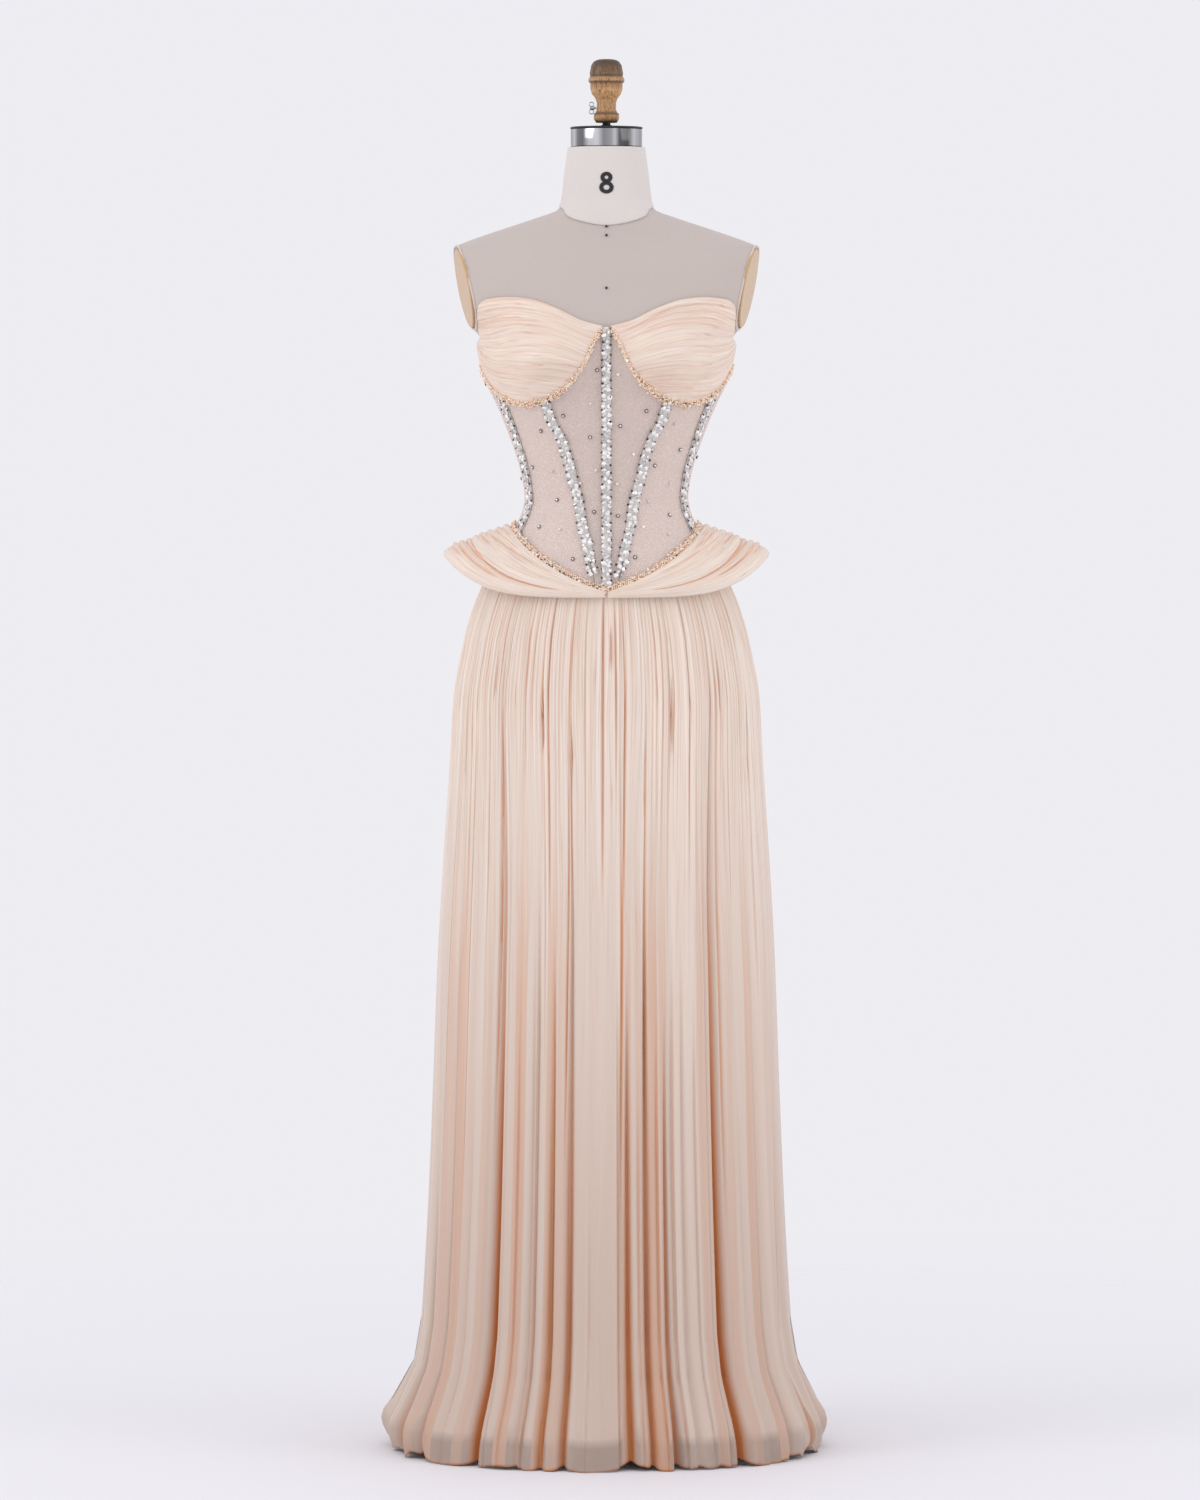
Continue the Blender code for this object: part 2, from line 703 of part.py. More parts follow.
def skirt_ring(columns, height, ripple):
    """Outer points of the skirt, one for each column, with every other one drawn in by the gathers."""
    away = np.radians(FAN_WAVE * np.clip(front_turn(columns), -FAN_REACH, FAN_REACH))
    fan = FAN_TURN * ease((height - FAN_START) / FAN_RISE) * np.sin(away)
    on_back = np.cos(np.radians(columns)) < 0
    turned_by = columns + np.where(on_back, -fan, fan)
    top = SKIRT_LEVELS[-1]
    hung = ease((height - top) / (hip_seam(columns) - HIP_SEAM_GAP - top))
    falling = skirt_tube(turned_by, height)
    sewn = lifted(body, turned_by, height, np.full(len(columns), SKIRT_TOP))
    point = falling + (sewn - falling) * hung[..., None]
    gathered = gather(height) * (1 - hung) + SEAM_GATHER * hung
    draw = groove_depth(columns, height) + gathered * (1 - ripple)
    flat = point * np.array([1, 1, 0])
    inward = flat / np.linalg.norm(flat, axis=-1, keepdims=True)
    return point - inward * draw[..., None]


def front_turn(turn):
    """The turn folded onto the front, from -90 to 90."""
    turn = (turn + 180) % 360 - 180
    return np.where(np.abs(turn) > 90, np.sign(turn) * 180 - turn, turn)


def drawn_in(ring, thickness):
    """A ring's inner face: each point moved in square to its neighbours, further at a sharp fold."""
    ahead = np.roll(ring, -1, axis=0) - ring
    behind = ring - np.roll(ring, 1, axis=0)
    normals = []
    for side in (behind, ahead):
        normal = np.stack([side[:, 1], -side[:, 0]], axis=-1)
        normals.append(normal / np.linalg.norm(normal, axis=-1, keepdims=True))
    middle = normals[0] + normals[1]
    middle /= np.linalg.norm(middle, axis=-1, keepdims=True)
    mitre = np.clip((middle * normals[1]).sum(axis=-1), SHARPEST_MITRE, 1)
    inner = ring.copy()
    inner[:, :2] -= middle * (thickness / mitre)[:, None]
    return inner


def build_skirt():
    """The gathered skirt in a front and a back, open at the hem and hung from the hip seam."""
    columns = SKIRT_COLUMNS
    ripple = np.where(np.arange(len(columns)) % 2 == 0, 1.0, -1.0)
    seam = hip_seam(columns) - HIP_SEAM_GAP
    fixed_top = SKIRT_LEVELS[-1]
    levels = [np.full(len(columns), float(z)) for z in SKIRT_LEVELS]
    levels += [fixed_top + (seam - fixed_top) * share for share in SKIRT_LEVELS_BY_SEAM]
    outer = np.array([skirt_ring(columns, height, ripple) for height in levels])
    inner = np.array([drawn_in(ring, SKIRT_WALL) for ring in outer])
    half_turn = (columns + 180) % 360 - 180
    front = [i for i in range(len(columns)) if abs(half_turn[i]) < 90]
    front.sort(key=lambda i: half_turn[i])
    behind = [i for i in range(len(columns)) if abs(half_turn[i]) > 90]
    behind.sort(key=lambda i: columns[i] % 360)
    for name, half, other in (("skirt_front", front, behind), ("skirt_back", behind, front)):
        grids = []
        for grid in (inner, outer):
            first = side_column(grid, half[0], other[-1])
            last = side_column(grid, half[-1], other[0])
            grids.append(np.concatenate([first[:, None], grid[:, half], last[:, None]], axis=1))
        wall(name, *grids, "skirt_chiffon")


def side_column(grid, own, other):
    """The column at a side seam, short of the middle between the halves' last columns by the gap."""
    way = grid[:, other] - grid[:, own]
    length = np.linalg.norm(way, axis=-1, keepdims=True)
    return grid[:, own] + way * (0.5 - 0.5 * GAP / length)


def build_lining():
    """The plain lining under the skirt, which ends above the hem."""
    for name, first in (("lining_front", -90), ("lining_back", 90)):
        turns = np.linspace(first + SIDE_SEAM_GAP, first + 180 - SIDE_SEAM_GAP, LINING_COLUMNS // 2 + 1)
        grids = []
        for rise in LINING:
            rows = []
            for height in LINING_LEVELS:
                below = np.full(len(turns), float(height))
                off = lifted(lining_tube, turns, below, np.full(len(turns), rise - LINING[1]))
                off[:, 2] = height
                rows.append(off)
            for height in LINING_HIP_LEVELS:
                level = np.full(len(turns), float(height))
                rows.append(lifted(body, turns, level, np.full(len(turns), rise)))
            for share in LINING_SEAM_SHARES:
                hip_top = LINING_HIP_LEVELS[-1]
                height = hip_top + (hip_seam(turns) - HIP_SEAM_GAP - hip_top) * share
                rows.append(lifted(body, turns, height, np.full(len(turns), rise)))
            grids.append(np.array(rows))
        wall(name, *grids, "lining_satin")


def form_point(turn, height):
    """The form's own surface, with a flatter bust than the body that the dress is cut for."""
    return body(turn, height, bust=FORM_BUST)


def build_torso():
    """The form's torso and neck as one smooth whole, cut flat at the armholes."""
    turns = np.array(TORSO_TURNS + tuple(360 - turn for turn in TORSO_TURNS[-2:0:-1]), float)
    built = bmesh.new()
    layers = []
    for height in TORSO_LEVELS:
        inset = FORM_INSET + (FORM_INSET_NECK - FORM_INSET) * ease((height - NECK_SEAM_FRONT + 10) / 20)
        ring = lifted(form_point, turns, np.full(len(turns), float(height)), np.full(len(turns), -inset))
        ring[:, 2] = height
        layers.append([built.verts.new(p) for p in ring])
    count = len(turns)
    for low, high in zip(layers, layers[1:]):
        for c in range(count):
            n = (c + 1) % count
            built.faces.new((low[c], low[n], high[n], high[c]))
    built.faces.new(reversed(layers[0]))
    built.faces.new(layers[-1])
    for _, sign in sides_of_wearer():
        point = Vector(ARM_PLANE_POINT)
        normal = Vector(ARM_PLANE_NORMAL).normalized()
        point.x *= sign
        normal.x *= sign
        geometry = built.verts[:] + built.edges[:] + built.faces[:]
        cut = bmesh.ops.bisect_plane(built, geom=geometry, plane_co=point, plane_no=normal, clear_outer=True)
        rim = [e for e in cut["geom_cut"] if isinstance(e, bmesh.types.BMEdge)]
        bmesh.ops.contextual_create(built, geom=rim)
    return place("form_torso", built, "form_jersey")


def arm_plane_axes(sign):
    """Origin, outward normal and the two in-plane ways of an armhole's flat face."""
    normal = Vector(ARM_PLANE_NORMAL).normalized()
    normal.x *= sign
    up = Vector((0, 0, 1))
    up = (up - normal * up.dot(normal)).normalized()
    along = up.cross(normal)
    point = Vector(ARM_PLANE_POINT)
    point.x *= sign
    return point, normal, along, up


def build_arm_plates(torso):
    """An oval board on each flat armhole, a little smaller than the face it covers."""
    for side, sign in sides_of_wearer():
        point, normal, along, up = arm_plane_axes(sign)
        face = max(
            (f for f in torso.data.polygons if f.normal.dot(normal) > 0.999 and f.center.x * sign > 0.1),
            key=lambda f: f.area,
        )
        corners = [torso.data.vertices[i].co / MM - point for i in face.vertices]
        spans = []
        for way in (along, up):
            reach = [c.dot(way) for c in corners]
            spans.append((min(reach), max(reach)))
        middle = [(low + high) / 2 for low, high in spans]
        radii = [(high - low) / 2 - ARM_PLATE_INSET for low, high in spans]
        centre = point + along * middle[0] + up * middle[1]
        rings = []
        for lift, shrink in ((GAP, 0), (GAP + ARM_PLATE_THICK - 1, 0), (GAP + ARM_PLATE_THICK, 1)):
            ring = []
            for k in range(24):
                a = math.radians(15 * k)
                spot = along * ((radii[0] - shrink) * math.cos(a)) + up * ((radii[1] - shrink) * math.sin(a))
                ring.append(centre + spot + normal * lift)
            rings.append(ring)
        stack(f"arm_plate_{side}", rings, "arm_plate_board", smooth=False)


def neck_seam(turn):
    """Height of the neck cover's lower edge, which dips at the front."""
    facing = np.cos(np.radians(turn))
    dip = np.where(facing > 0, NECK_SEAM_SIDE - NECK_SEAM_FRONT, NECK_SEAM_SIDE - NECK_SEAM_BACK)
    return NECK_SEAM_SIDE - dip * np.abs(facing) ** 1.5


def build_neck():
    """The canvas cover of the neck, the chromed band and the black cap."""
    turns = np.arange(24) * 15.0
    grids = []
    for rise in NECK_COVER:
        rows = []
        for share in (0, 0.18, 0.42, 1.0):
            height = neck_seam(turns) + (NECK_TOP - 0.5 - neck_seam(turns)) * share
            rows.append(lifted(form_point, turns, height, np.full(len(turns), rise)))
        grids.append(np.array(rows))
    wall("neck_cover", *grids, "form_canvas", closed=True)
    low = NECK_TOP + GAP
    centre = (0.0, NECK_CENTRE_Y)
    band = [(low, BAND_RADIUS - 0.6), (low + 0.6, BAND_RADIUS), (low + BAND_HEIGHT - 0.6, BAND_RADIUS)]
    band += [(low + BAND_HEIGHT, BAND_RADIUS - 0.6)]
    turned("neck_band", band, "chromed_band", sides=24, centre=centre)
    low += BAND_HEIGHT + GAP
    cap = [(low, CAP_RADIUS), (low + CAP_HEIGHT - 0.8, CAP_RADIUS), (low + CAP_HEIGHT, CAP_RADIUS - 1.4)]
    turned("neck_cap", cap, "black_plastic", sides=24, centre=centre)
    low += CAP_HEIGHT + GAP
    rod = [(low, 7.5), (low + 1.6, 7.5), (low + 2.4, ROD_RADIUS), (FINIAL_BOTTOM - GAP, ROD_RADIUS)]
    turned("finial_rod", rod, "black_plastic", sides=12, centre=centre)
    turned("finial", FINIAL, "turned_beech", sides=14, centre=centre)


def build_thumb_screw():
    """The wing screw that clamps the finial, on the wearer's right."""
    built = bmesh.new()
    start = -(FINIAL_NECK_RADIUS + GAP)
    layers = []
    for section in SCREW_WING:
        x = start - section.out
        tall, deep = section.tall, section.deep
        ring = []
        for k in range(SCREW_SIDES):
            a = 2 * math.pi * k / SCREW_SIDES
            spot = (x, NECK_CENTRE_Y + deep * math.cos(a), SCREW_HEIGHT + tall * math.sin(a))
            ring.append(built.verts.new(spot))
        layers.append(ring)
    for low, high in zip(layers, layers[1:]):
        for c in range(SCREW_SIDES):
            n = (c + 1) % SCREW_SIDES
            built.faces.new((low[c], low[n], high[n], high[c]))
    built.faces.new(layers[0])
    built.faces.new(layers[-1])
    place("thumb_screw", built, "stand_steel")


def build_stand():
    """The pole under the form, in the socket of a round base."""
    floor = BASE_PLATE + BASE_EDGE
    base = [(0, 0), (0, BASE_RADIUS), (BASE_PLATE - BASE_EDGE, BASE_RADIUS)]
    base += [(BASE_PLATE, BASE_RADIUS - BASE_EDGE)]
    base += [(BASE_PLATE + 3, SOCKET_RADIUS + 8), (BASE_PLATE + 12, SOCKET_RADIUS)]
    base += [(SOCKET_TOP, SOCKET_RADIUS), (SOCKET_TOP, POLE_RADIUS + GAP)]
    base += [(floor, POLE_RADIUS + GAP), (floor, 0)]
    turned("stand_base", base, "stand_steel", sides=24)
    pole = [(floor + GAP, POLE_RADIUS), (TORSO_LEVELS[0] - GAP, POLE_RADIUS)]
    turned("stand_pole", pole, "stand_steel", sides=16)


def build_zip():
    """The zip at the centre back: its strip, the slider and the hanging pull."""
    levels = np.linspace(ZIP_FOOT, ZIP_TOP, 10)
    grids = []
    for rise in ZIP_LIFT:
        rows = []
        for height in levels:
            middle = lifted(body, 180.0, height, rise)
            rows.append([middle + np.array([-side * ZIP_WIDTH / 2, 0, 0]) for side in (-1, 1)])
        grids.append(np.array(rows))
    wall("zip_strip", *grids, "zip_nylon")
    build_slider()


def boxed(name, low, high, finish, bevel=0.0):
    """A box between two corners, with softened edges where a bevel is given."""
    built = bmesh.new()
    bmesh.ops.create_cube(built, size=1)
    size = [b - a for a, b in zip(low, high)]
    middle = [(a + b) / 2 for a, b in zip(low, high)]
    bmesh.ops.scale(built, vec=size, verts=built.verts)
    bmesh.ops.translate(built, vec=middle, verts=built.verts)
    if bevel:
        bmesh.ops.bevel(built, geom=built.edges[:], offset=bevel, segments=1, profile=0.5, affect="EDGES")
    return place(name, built, finish, smooth=False)


def combine(target, other, operation):
    """Joins or cuts the target with the other object, which stays as a hidden guide."""
    other.hide_render = True
    other.display_type = "WIRE"
    step = target.modifiers.new(other.name, "BOOLEAN")
    step.operation = operation
    step.solver = "EXACT"
    step.object = other


def bridge(name, y, z):
    """The arch on the slider's face, round the middle of the pull's bar at (y, z)."""
    half_width = BRIDGE_WIDTH / 2
    deep, tall = BRIDGE_HOLLOW[0] / 2, BRIDGE_HOLLOW[1] / 2
    foot = y - deep - BRIDGE_WALL / 2
    inner = [(foot, z - tall), (y + deep, z - tall), (y + deep, z + tall), (foot, z + tall)]
    tall += BRIDGE_WALL
    deep += BRIDGE_WALL
    outer = [(foot, z - tall), (y + deep, z - tall), (y + deep, z + tall), (foot, z + tall)]
    built = bmesh.new()
    sides = []
    for x in (-half_width, half_width):
        sides.append([[built.verts.new((x, *spot)) for spot in line] for line in (inner, outer)])
    near, far = sides
    for k in range(3):
        built.faces.new((near[0][k], near[0][k + 1], near[1][k + 1], near[1][k]))
        built.faces.new((far[1][k], far[1][k + 1], far[0][k + 1], far[0][k]))
        built.faces.new((near[1][k], near[1][k + 1], far[1][k + 1], far[1][k]))
        built.faces.new((far[0][k], far[0][k + 1], near[0][k + 1], near[0][k]))
    for k in (0, 3):
        built.faces.new((near[0][k], near[1][k], far[1][k], far[0][k]))
    return place(name, built, "zip_metal", smooth=False)


def build_slider():
    """The slider with its bridge, and the pull whose eye hangs on the bridge."""
    wide, deep, tall = SLIDER_SIZE
    face = float(lifted(body, 180.0, float(SLIDER_HEIGHT), ZIP_LIFT[1] + GAP)[1])
    slider = boxed(
        "zip_slider",
        (-wide / 2, face, SLIDER_HEIGHT - tall / 2),
        (wide / 2, face + deep, SLIDER_HEIGHT + tall / 2),
        "zip_metal",
        bevel=0.4,
    )
    axis_y = face + deep + BRIDGE_HOLLOW[0] / 2
    combine(slider, bridge("bridge_guide", axis_y, SLIDER_HEIGHT), "UNION")
    wide, deep, tall = PULL_SIZE
    top = SLIDER_HEIGHT + PULL_BAR / 2
    pull = boxed(
        "zip_pull",
        (-wide / 2, axis_y - deep / 2, top - tall),
        (wide / 2, axis_y + deep / 2, top),
        "zip_metal",
    )
    eye_wide, eye_tall = PULL_EYE
    eye = boxed(
        "eye_guide",
        (-eye_wide / 2, axis_y - deep, top - PULL_BAR - eye_tall),
        (eye_wide / 2, axis_y + deep, top - PULL_BAR),
        "zip_metal",
    )
    combine(pull, eye, "DIFFERENCE")


def clear_scene():
    """Starts from nothing."""
    for old in list(bpy.data.objects):
        bpy.data.objects.remove(old)


def main():
    clear_scene()
    torso = build_torso()
    build_arm_plates(torso)
    build_neck()
    build_thumb_screw()
    build_stand()
    build_lining()
    build_corset()
    build_bones()
    build_cups()
    build_peplum()
    build_skirt()
    build_zip()


main()
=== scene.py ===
"""Evening dress on a limbless dress form: the finished cloth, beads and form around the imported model.

Laid out as an add-on and run as a script. Tables hold millimetres, and turns are degrees round the body:
0 at the centre front, 90 at the wearer's left side, 180 at the centre back.
"""

import math
from collections import namedtuple

import bpy
import numpy as np
from mathutils import Matrix, Vector


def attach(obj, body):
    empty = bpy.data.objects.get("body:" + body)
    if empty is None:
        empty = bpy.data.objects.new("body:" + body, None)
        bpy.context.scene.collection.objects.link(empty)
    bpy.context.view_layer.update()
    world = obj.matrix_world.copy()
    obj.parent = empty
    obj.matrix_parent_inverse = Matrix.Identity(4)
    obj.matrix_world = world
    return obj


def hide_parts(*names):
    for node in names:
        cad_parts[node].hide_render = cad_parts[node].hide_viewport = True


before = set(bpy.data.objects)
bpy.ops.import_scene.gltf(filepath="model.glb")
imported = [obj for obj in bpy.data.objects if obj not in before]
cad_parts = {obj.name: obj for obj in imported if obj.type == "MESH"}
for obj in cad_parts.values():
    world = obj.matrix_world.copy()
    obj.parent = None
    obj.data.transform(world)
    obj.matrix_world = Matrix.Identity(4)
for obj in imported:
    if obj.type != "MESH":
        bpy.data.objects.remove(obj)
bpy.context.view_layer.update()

bl_info = {
    "name": "Evening dress on a form",
    "version": (1, 0, 0),
    "blender": (4, 5, 0),
    "location": "3D View > Sidebar > Evening dress",
    "description": "Builds the cloth, beads, dress form and studio of an evening dress",
    "category": "Object",
}

MM = 0.001
ROOT = "dress_and_form"
SIDES = (("left", 1), ("right", -1))
WHITE = (1.0, 1.0, 1.0, 1.0)
BLACK = (0.0, 0.0, 0.0, 1.0)

Section = namedtuple("Section", "height half_width front back")
ROUNDNESS = 2.2
# The step, in degrees and in mm, over which a surface's slope is measured
SLOPE_STEP = 0.05

# The body that the dress is cut for
BODY = [
    Section(880, 155, 98, 122),
    Section(940, 161, 106, 131),
    Section(1000, 164, 110, 132),
    Section(1040, 160, 110, 126),
    Section(1075, 150, 109, 117),
    Section(1110, 134, 105, 106),
    Section(1150, 114, 96, 92),
    Section(1174, 103, 90, 85),
    Section(1190, 100.5, 87, 82),
    Section(1211, 103, 87, 82),
    Section(1236, 109, 88, 84),
    Section(1261, 117.5, 90, 87),
    Section(1286, 127, 93, 91),
    Section(1311, 138, 96, 95),
    Section(1336, 149.5, 100, 98),
    Section(1361, 154.5, 104, 101),
    Section(1386, 157, 106, 103),
    Section(1402, 168, 105, 104),
    Section(1425, 182, 101, 104),
    Section(1450, 191, 94, 102),
    Section(1478, 196, 82, 96),
    Section(1500, 192, 66, 86),
    Section(1508, 176, 60, 80),
    Section(1518, 148, 57, 74),
    Section(1528, 118, 56, 68),
    Section(1538, 88, 55, 62),
    Section(1548, 62, 54, 57),
    Section(1560, 55.5, 51, 53),
    Section(1590, 52, 48, 50),
    Section(1626, 47, 44, 47),
]
BUST_RISE = 32
BUST_X = 80
BUST_HEIGHT = 1362
BUST_WIDE = 48
BUST_TALL = 42

# The bodice's edges and the line of its front bones, as (turn, height) rows
NECKLINE = [(0, 1401), (8, 1408), (18, 1424), (28, 1435), (38, 1438), (50, 1436), (57, 1430), (62, 1418)]
NECKLINE += [(67, 1405), (74, 1393), (82, 1387), (90, 1385), (125, 1390), (180, 1394)]
CUP_FOOT = [(0, 1398), (2, 1395), (5.7, 1377), (9.6, 1354), (17, 1331), (29, 1314), (43, 1307.5), (58, 1312)]
CUP_FOOT += [(70, 1325), (79, 1341), (90, 1351), (110, 1354), (180, 1354)]
FRONT_BONE = [(4.6, 1088), (6.1, 1100), (8.6, 1124), (14.3, 1160), (18.2, 1190), (21.5, 1215), (24, 1247)]
FRONT_BONE += [(26.2, 1265), (29.9, 1286), (31, 1314)]
POINT_HEIGHT = 1074
HIP_SIDE_HEIGHT = 1150
HIP_BACK_HEIGHT = 1128
SIDE_BONE_TURN = 66
SIDE_BACK_BONE_TURN = 115
BACK_EDGE_TURN = 178.6

# The skirt's outer reach and the grooves between its folds
SKIRT = [
    Section(0, 273, 245, 262),
    Section(22, 271, 241, 258),
    Section(50, 264, 232, 248),
    Section(90, 248, 215, 231),
    Section(140, 235, 204, 218),
    Section(220, 229, 196, 209),
    Section(320, 223.5, 188, 201),
    Section(460, 217.5, 176, 190),
    Section(600, 212, 163, 179),
    Section(740, 204, 151, 168),
    Section(860, 196, 139, 158),
    Section(940, 191.5, 131, 151),
    Section(1000, 181, 124, 145),
    Section(1036, 173, 120, 137),
    Section(1075, 160, 118, 127),
    Section(1150, 122, 104, 100),
]
Groove = namedtuple("Groove", "turn depth half_width start")
GROOVES = [
    Groove(-71, 18, 1.6, 420),
    Groove(-58.5, 14, 1.4, 760),
    Groove(-36.6, 36, 1.9, 1150),
    Groove(-22.5, 12, 1.3, 760),
    Groove(-16.2, 20, 1.2, 640),
    Groove(-10, 26, 1.2, 900),
    Groove(5.6, 24, 1.4, 700),
    Groove(11, 26, 1.2, 820),
    Groove(17.4, 20, 1.2, 640),
    Groove(23.5, 12, 1.3, 760),
    Groove(37.2, 36, 1.9, 1150),
    Groove(56.5, 14, 1.4, 760),
    Groove(69, 18, 1.6, 420),
    Groove(84, 22, 1.9, 900),
    Groove(-85, 22, 1.9, 900),
]
GROOVE_ONSET = 320
GROOVE_FALL = 1.6
GROOVE_DRAW = 0.56
GROOVE_SHARE = [(0, 1.0), (60, 1.0), (300, 0.84), (600, 0.58), (800, 0.38), (940, 0.2)]
GROOVE_SHARE += [(1000, 0.07), (1050, 0)]
Lap = namedtuple("Lap", "turn start drop side reach")
LAPS = [
    Lap(-73, 620, 7, -1, 4.0),
    Lap(-57.5, 700, 6, -1, 5.0),
    Lap(-47, 520, 3.5, -1, 3.0),
    Lap(-32.4, 900, 5, -1, 2.2),
    Lap(-27.8, 640, 3, 1, 2.4),
    Lap(-21.5, 760, 6.5, 1, 2.6),
    Lap(-15.8, 700, 6, 1, 2.2),
    Lap(-10.6, 560, 3.5, -1, 1.0),
    Lap(-4.4, 420, 2.2, 1, 2.6),
    Lap(2.6, 640, 6, 1, 2.0),
    Lap(8.8, 560, 4, -1, 1.6),
    Lap(14.8, 620, 5, -1, 1.8),
    Lap(20.4, 700, 5.5, -1, 2.4),
    Lap(28.2, 640, 3.4, -1, 2.6),
    Lap(32.6, 900, 5, 1, 2.2),
    Lap(46, 520, 4, 1, 3.4),
    Lap(55.4, 700, 6, 1, 5.0),
    Lap(70, 620, 7, 1, 4.0),
]
Slit = namedtuple("Slit", "turn top foot depth")
SLITS = [
    Slit(-19.9, 962, 902, 8),
    Slit(20.4, 972, 892, 8),
    Slit(1.1, 1040, 985, 4),
    Slit(-9.9, 905, 850, 4),
    Slit(11.2, 880, 822, 4),
    Slit(-60.4, 985, 860, 6),
    Slit(61.4, 985, 870, 6),
    Slit(-41, 1010, 950, 3),
    Slit(42, 1005, 940, 3),
]
Panel = namedtuple("Panel", "turn width tint")
PANELS = [
    Panel(-64, 3.2, 0.16),
    Panel(-55, 3.0, 0.26),
    Panel(-41.5, 1.6, 0.16),
    Panel(-27.2, 2.0, 0.3),
    Panel(-16.6, 1.5, 0.3),
    Panel(-12.6, 1.7, 0.2),
    Panel(5.0, 1.5, 0.24),
    Panel(9.0, 1.2, 0.14),
    Panel(13.2, 1.7, 0.34),
    Panel(16.9, 1.3, 0.22),
    Panel(30.6, 1.5, 0.18),
    Panel(42, 1.8, 0.12),
    Panel(54, 2.6, 0.28),
    Panel(67, 3.4, 0.14),
]
PANEL_TOP = 860

# The skirt's random folds. top and bottom are ranges of height, and fade how far both ends run out
FoldKind = namedtuple("FoldKind", "seed count spread top bottom depth width drift fade")
FINE = FoldKind(11, 330, 0.9, (1300, 1400), (840, 1060), (0.2, 1.2), (0.18, 0.34), 0.5, (120, 200))
PINCHED = FoldKind(17, 110, 1.6, (1300, 1400), (780, 1060), (0.6, 3.6), (0.16, 0.36), 0.9, (120, 220))
LONG = FoldKind(23, 30, 1.2, (920, 1120), (460, 860), (0.8, 3.4), (0.2, 0.5), 1.4, (160, 260))
BROAD = FoldKind(37, 30, 0.6, (600, 900), (-400, -200), (0.8, 3.0), (1.6, 3.0), 1.2, (260, 200))
SCALLOPS = FoldKind(41, 40, 0.5, (70, 130), (-300, -250), (-6.0, 10.0), (1.4, 2.8), 0.6, (70, 60))

# The skirt's fan at the hip, its seams, its wall and its hem
SKIRT_COLUMNS = 901
SKIRT_TOP_LEVEL = 1008
FAN_TURN = 4.5
FAN_START = 650
FAN_RISE = 400
FAN_REACH = 80
FAN_WAVE = 2.25
SEAM_HEIGHT = 1110
SEAM_TURN = 0.04
CHIFFON_WALL = 0.5
HEM_LIFT = 0.8
HEM_REACH = 120
SHEER_TOP = 40

# Depths of the layers off the body, and the gaps at their seams
NET_OUTER = 1.7
NET_INNER = 1.4
CUP_INNER = 0.9
CUP_OUTER = 2.6
SKIRT_TOP = 4.4
PEPLUM_TOP = 5.6
LINING_OUTER = 1.9
LINING_INNER = 0.9
HIP_SEAM_GAP = 1.2
SEAM_GAP = 0.4

# The peplum's lower edge, which rises to a tip at the sides, and its pleats as shares of its length
PEPLUM_EDGE = Section(1067, 203, 123, 131)
PEPLUM_TIP_LIFT = 50
PEPLUM_TIP_POWER = 4.2
PEPLUM_ARCH = 9
PEPLUM_BEND = 0.62
PEPLUM_WALL = 1.4
Pleat = namedtuple("Pleat", "side front end start drop")
PLEATS = [
    Pleat(0.1, 0.05, 60, 90, 1.8),
    Pleat(0.2, 0.1, 46, 90, 2.0),
    Pleat(0.31, 0.12, 20, 90, 1.5),
    Pleat(0.41, 0.33, 62, 90, 2.0),
    Pleat(0.5, 0.66, 12, 90, 3.0),
    Pleat(0.6, 0.58, 56, 90, 2.0),
    Pleat(0.7, 0.72, 40, 90, 2.4),
    Pleat(0.8, 0.78, 66, 90, 1.8),
]

# The lining, whose rows lie level up to the height where it starts to follow the hip seam
LINING_TUBE = [
    Section(46, 205, 175, 190),
    Section(300, 189, 154, 167),
    Section(600, 181, 132, 150),
    Section(880, 168.5, 113, 135),
    Section(1000, 165.9, 111.9, 133.9),
]
LINING_HEM = 46
LINING_LEVEL = 940

# The cups and the back bands. The span is the width in mm over which a cup's creases are laid
CREASE_TAPER = 14.0
CUP_COLUMNS = 241
CUP_ROWS = 141
CUP_SPAN = 130
CUP_FULLNESS = 3.0
CUP_FULL_HEIGHT = 1386
BAND_COLUMNS = 161
BAND_ROWS = 51
BAND_SHARE = 0.33

# The strips, sequins and beaded edges
NET_COLUMNS = 33
NET_ROWS = 65
STRIP_COLUMNS = 9
STRIP_ROWS = 97
STRIP_WIDTH = 13
STRIP_GAP = 1.2
STRIP_RUN_ON = 20
SEQUIN_STEP = 5.2
SEQUIN_RISE = 5.1
DARK_STONE_RISE = 5.2
TRIM_STEP = 2.7
TRIM_ROW_GAP = 2.3
HIP_TRIM_LIFT = 1.6

# The form, the numeral on its neck, its pins, its neck's fittings and the flat faces of its armholes
FORM_RINGS = 181
FORM_FOOT = 880
FORM_TOP = 1626
NECK_CENTRE = (0.0, 1.5)
NECK_HALF_WIDTH = 53
NECK_SEAM_SIDE = 1552
NECK_SEAM_FRONT = 1527
NECK_SEAM_BACK = 1544
NECK_BAND_RADIUS = 44.6
NUMERAL = [(1586.8, 7.4, 6.8), (1574.4, 8.7, 7.8)]
NUMERAL_STROKE = 5.0
PINS = [1526, 1515, 1449]
SCREW_HEIGHT = 1675
ARM_PLANE_POINT = (166, 0, 1396)
ARM_PLANE_NORMAL = (1, -0.19, -0.2)
STAND_FLOOR = 16.0

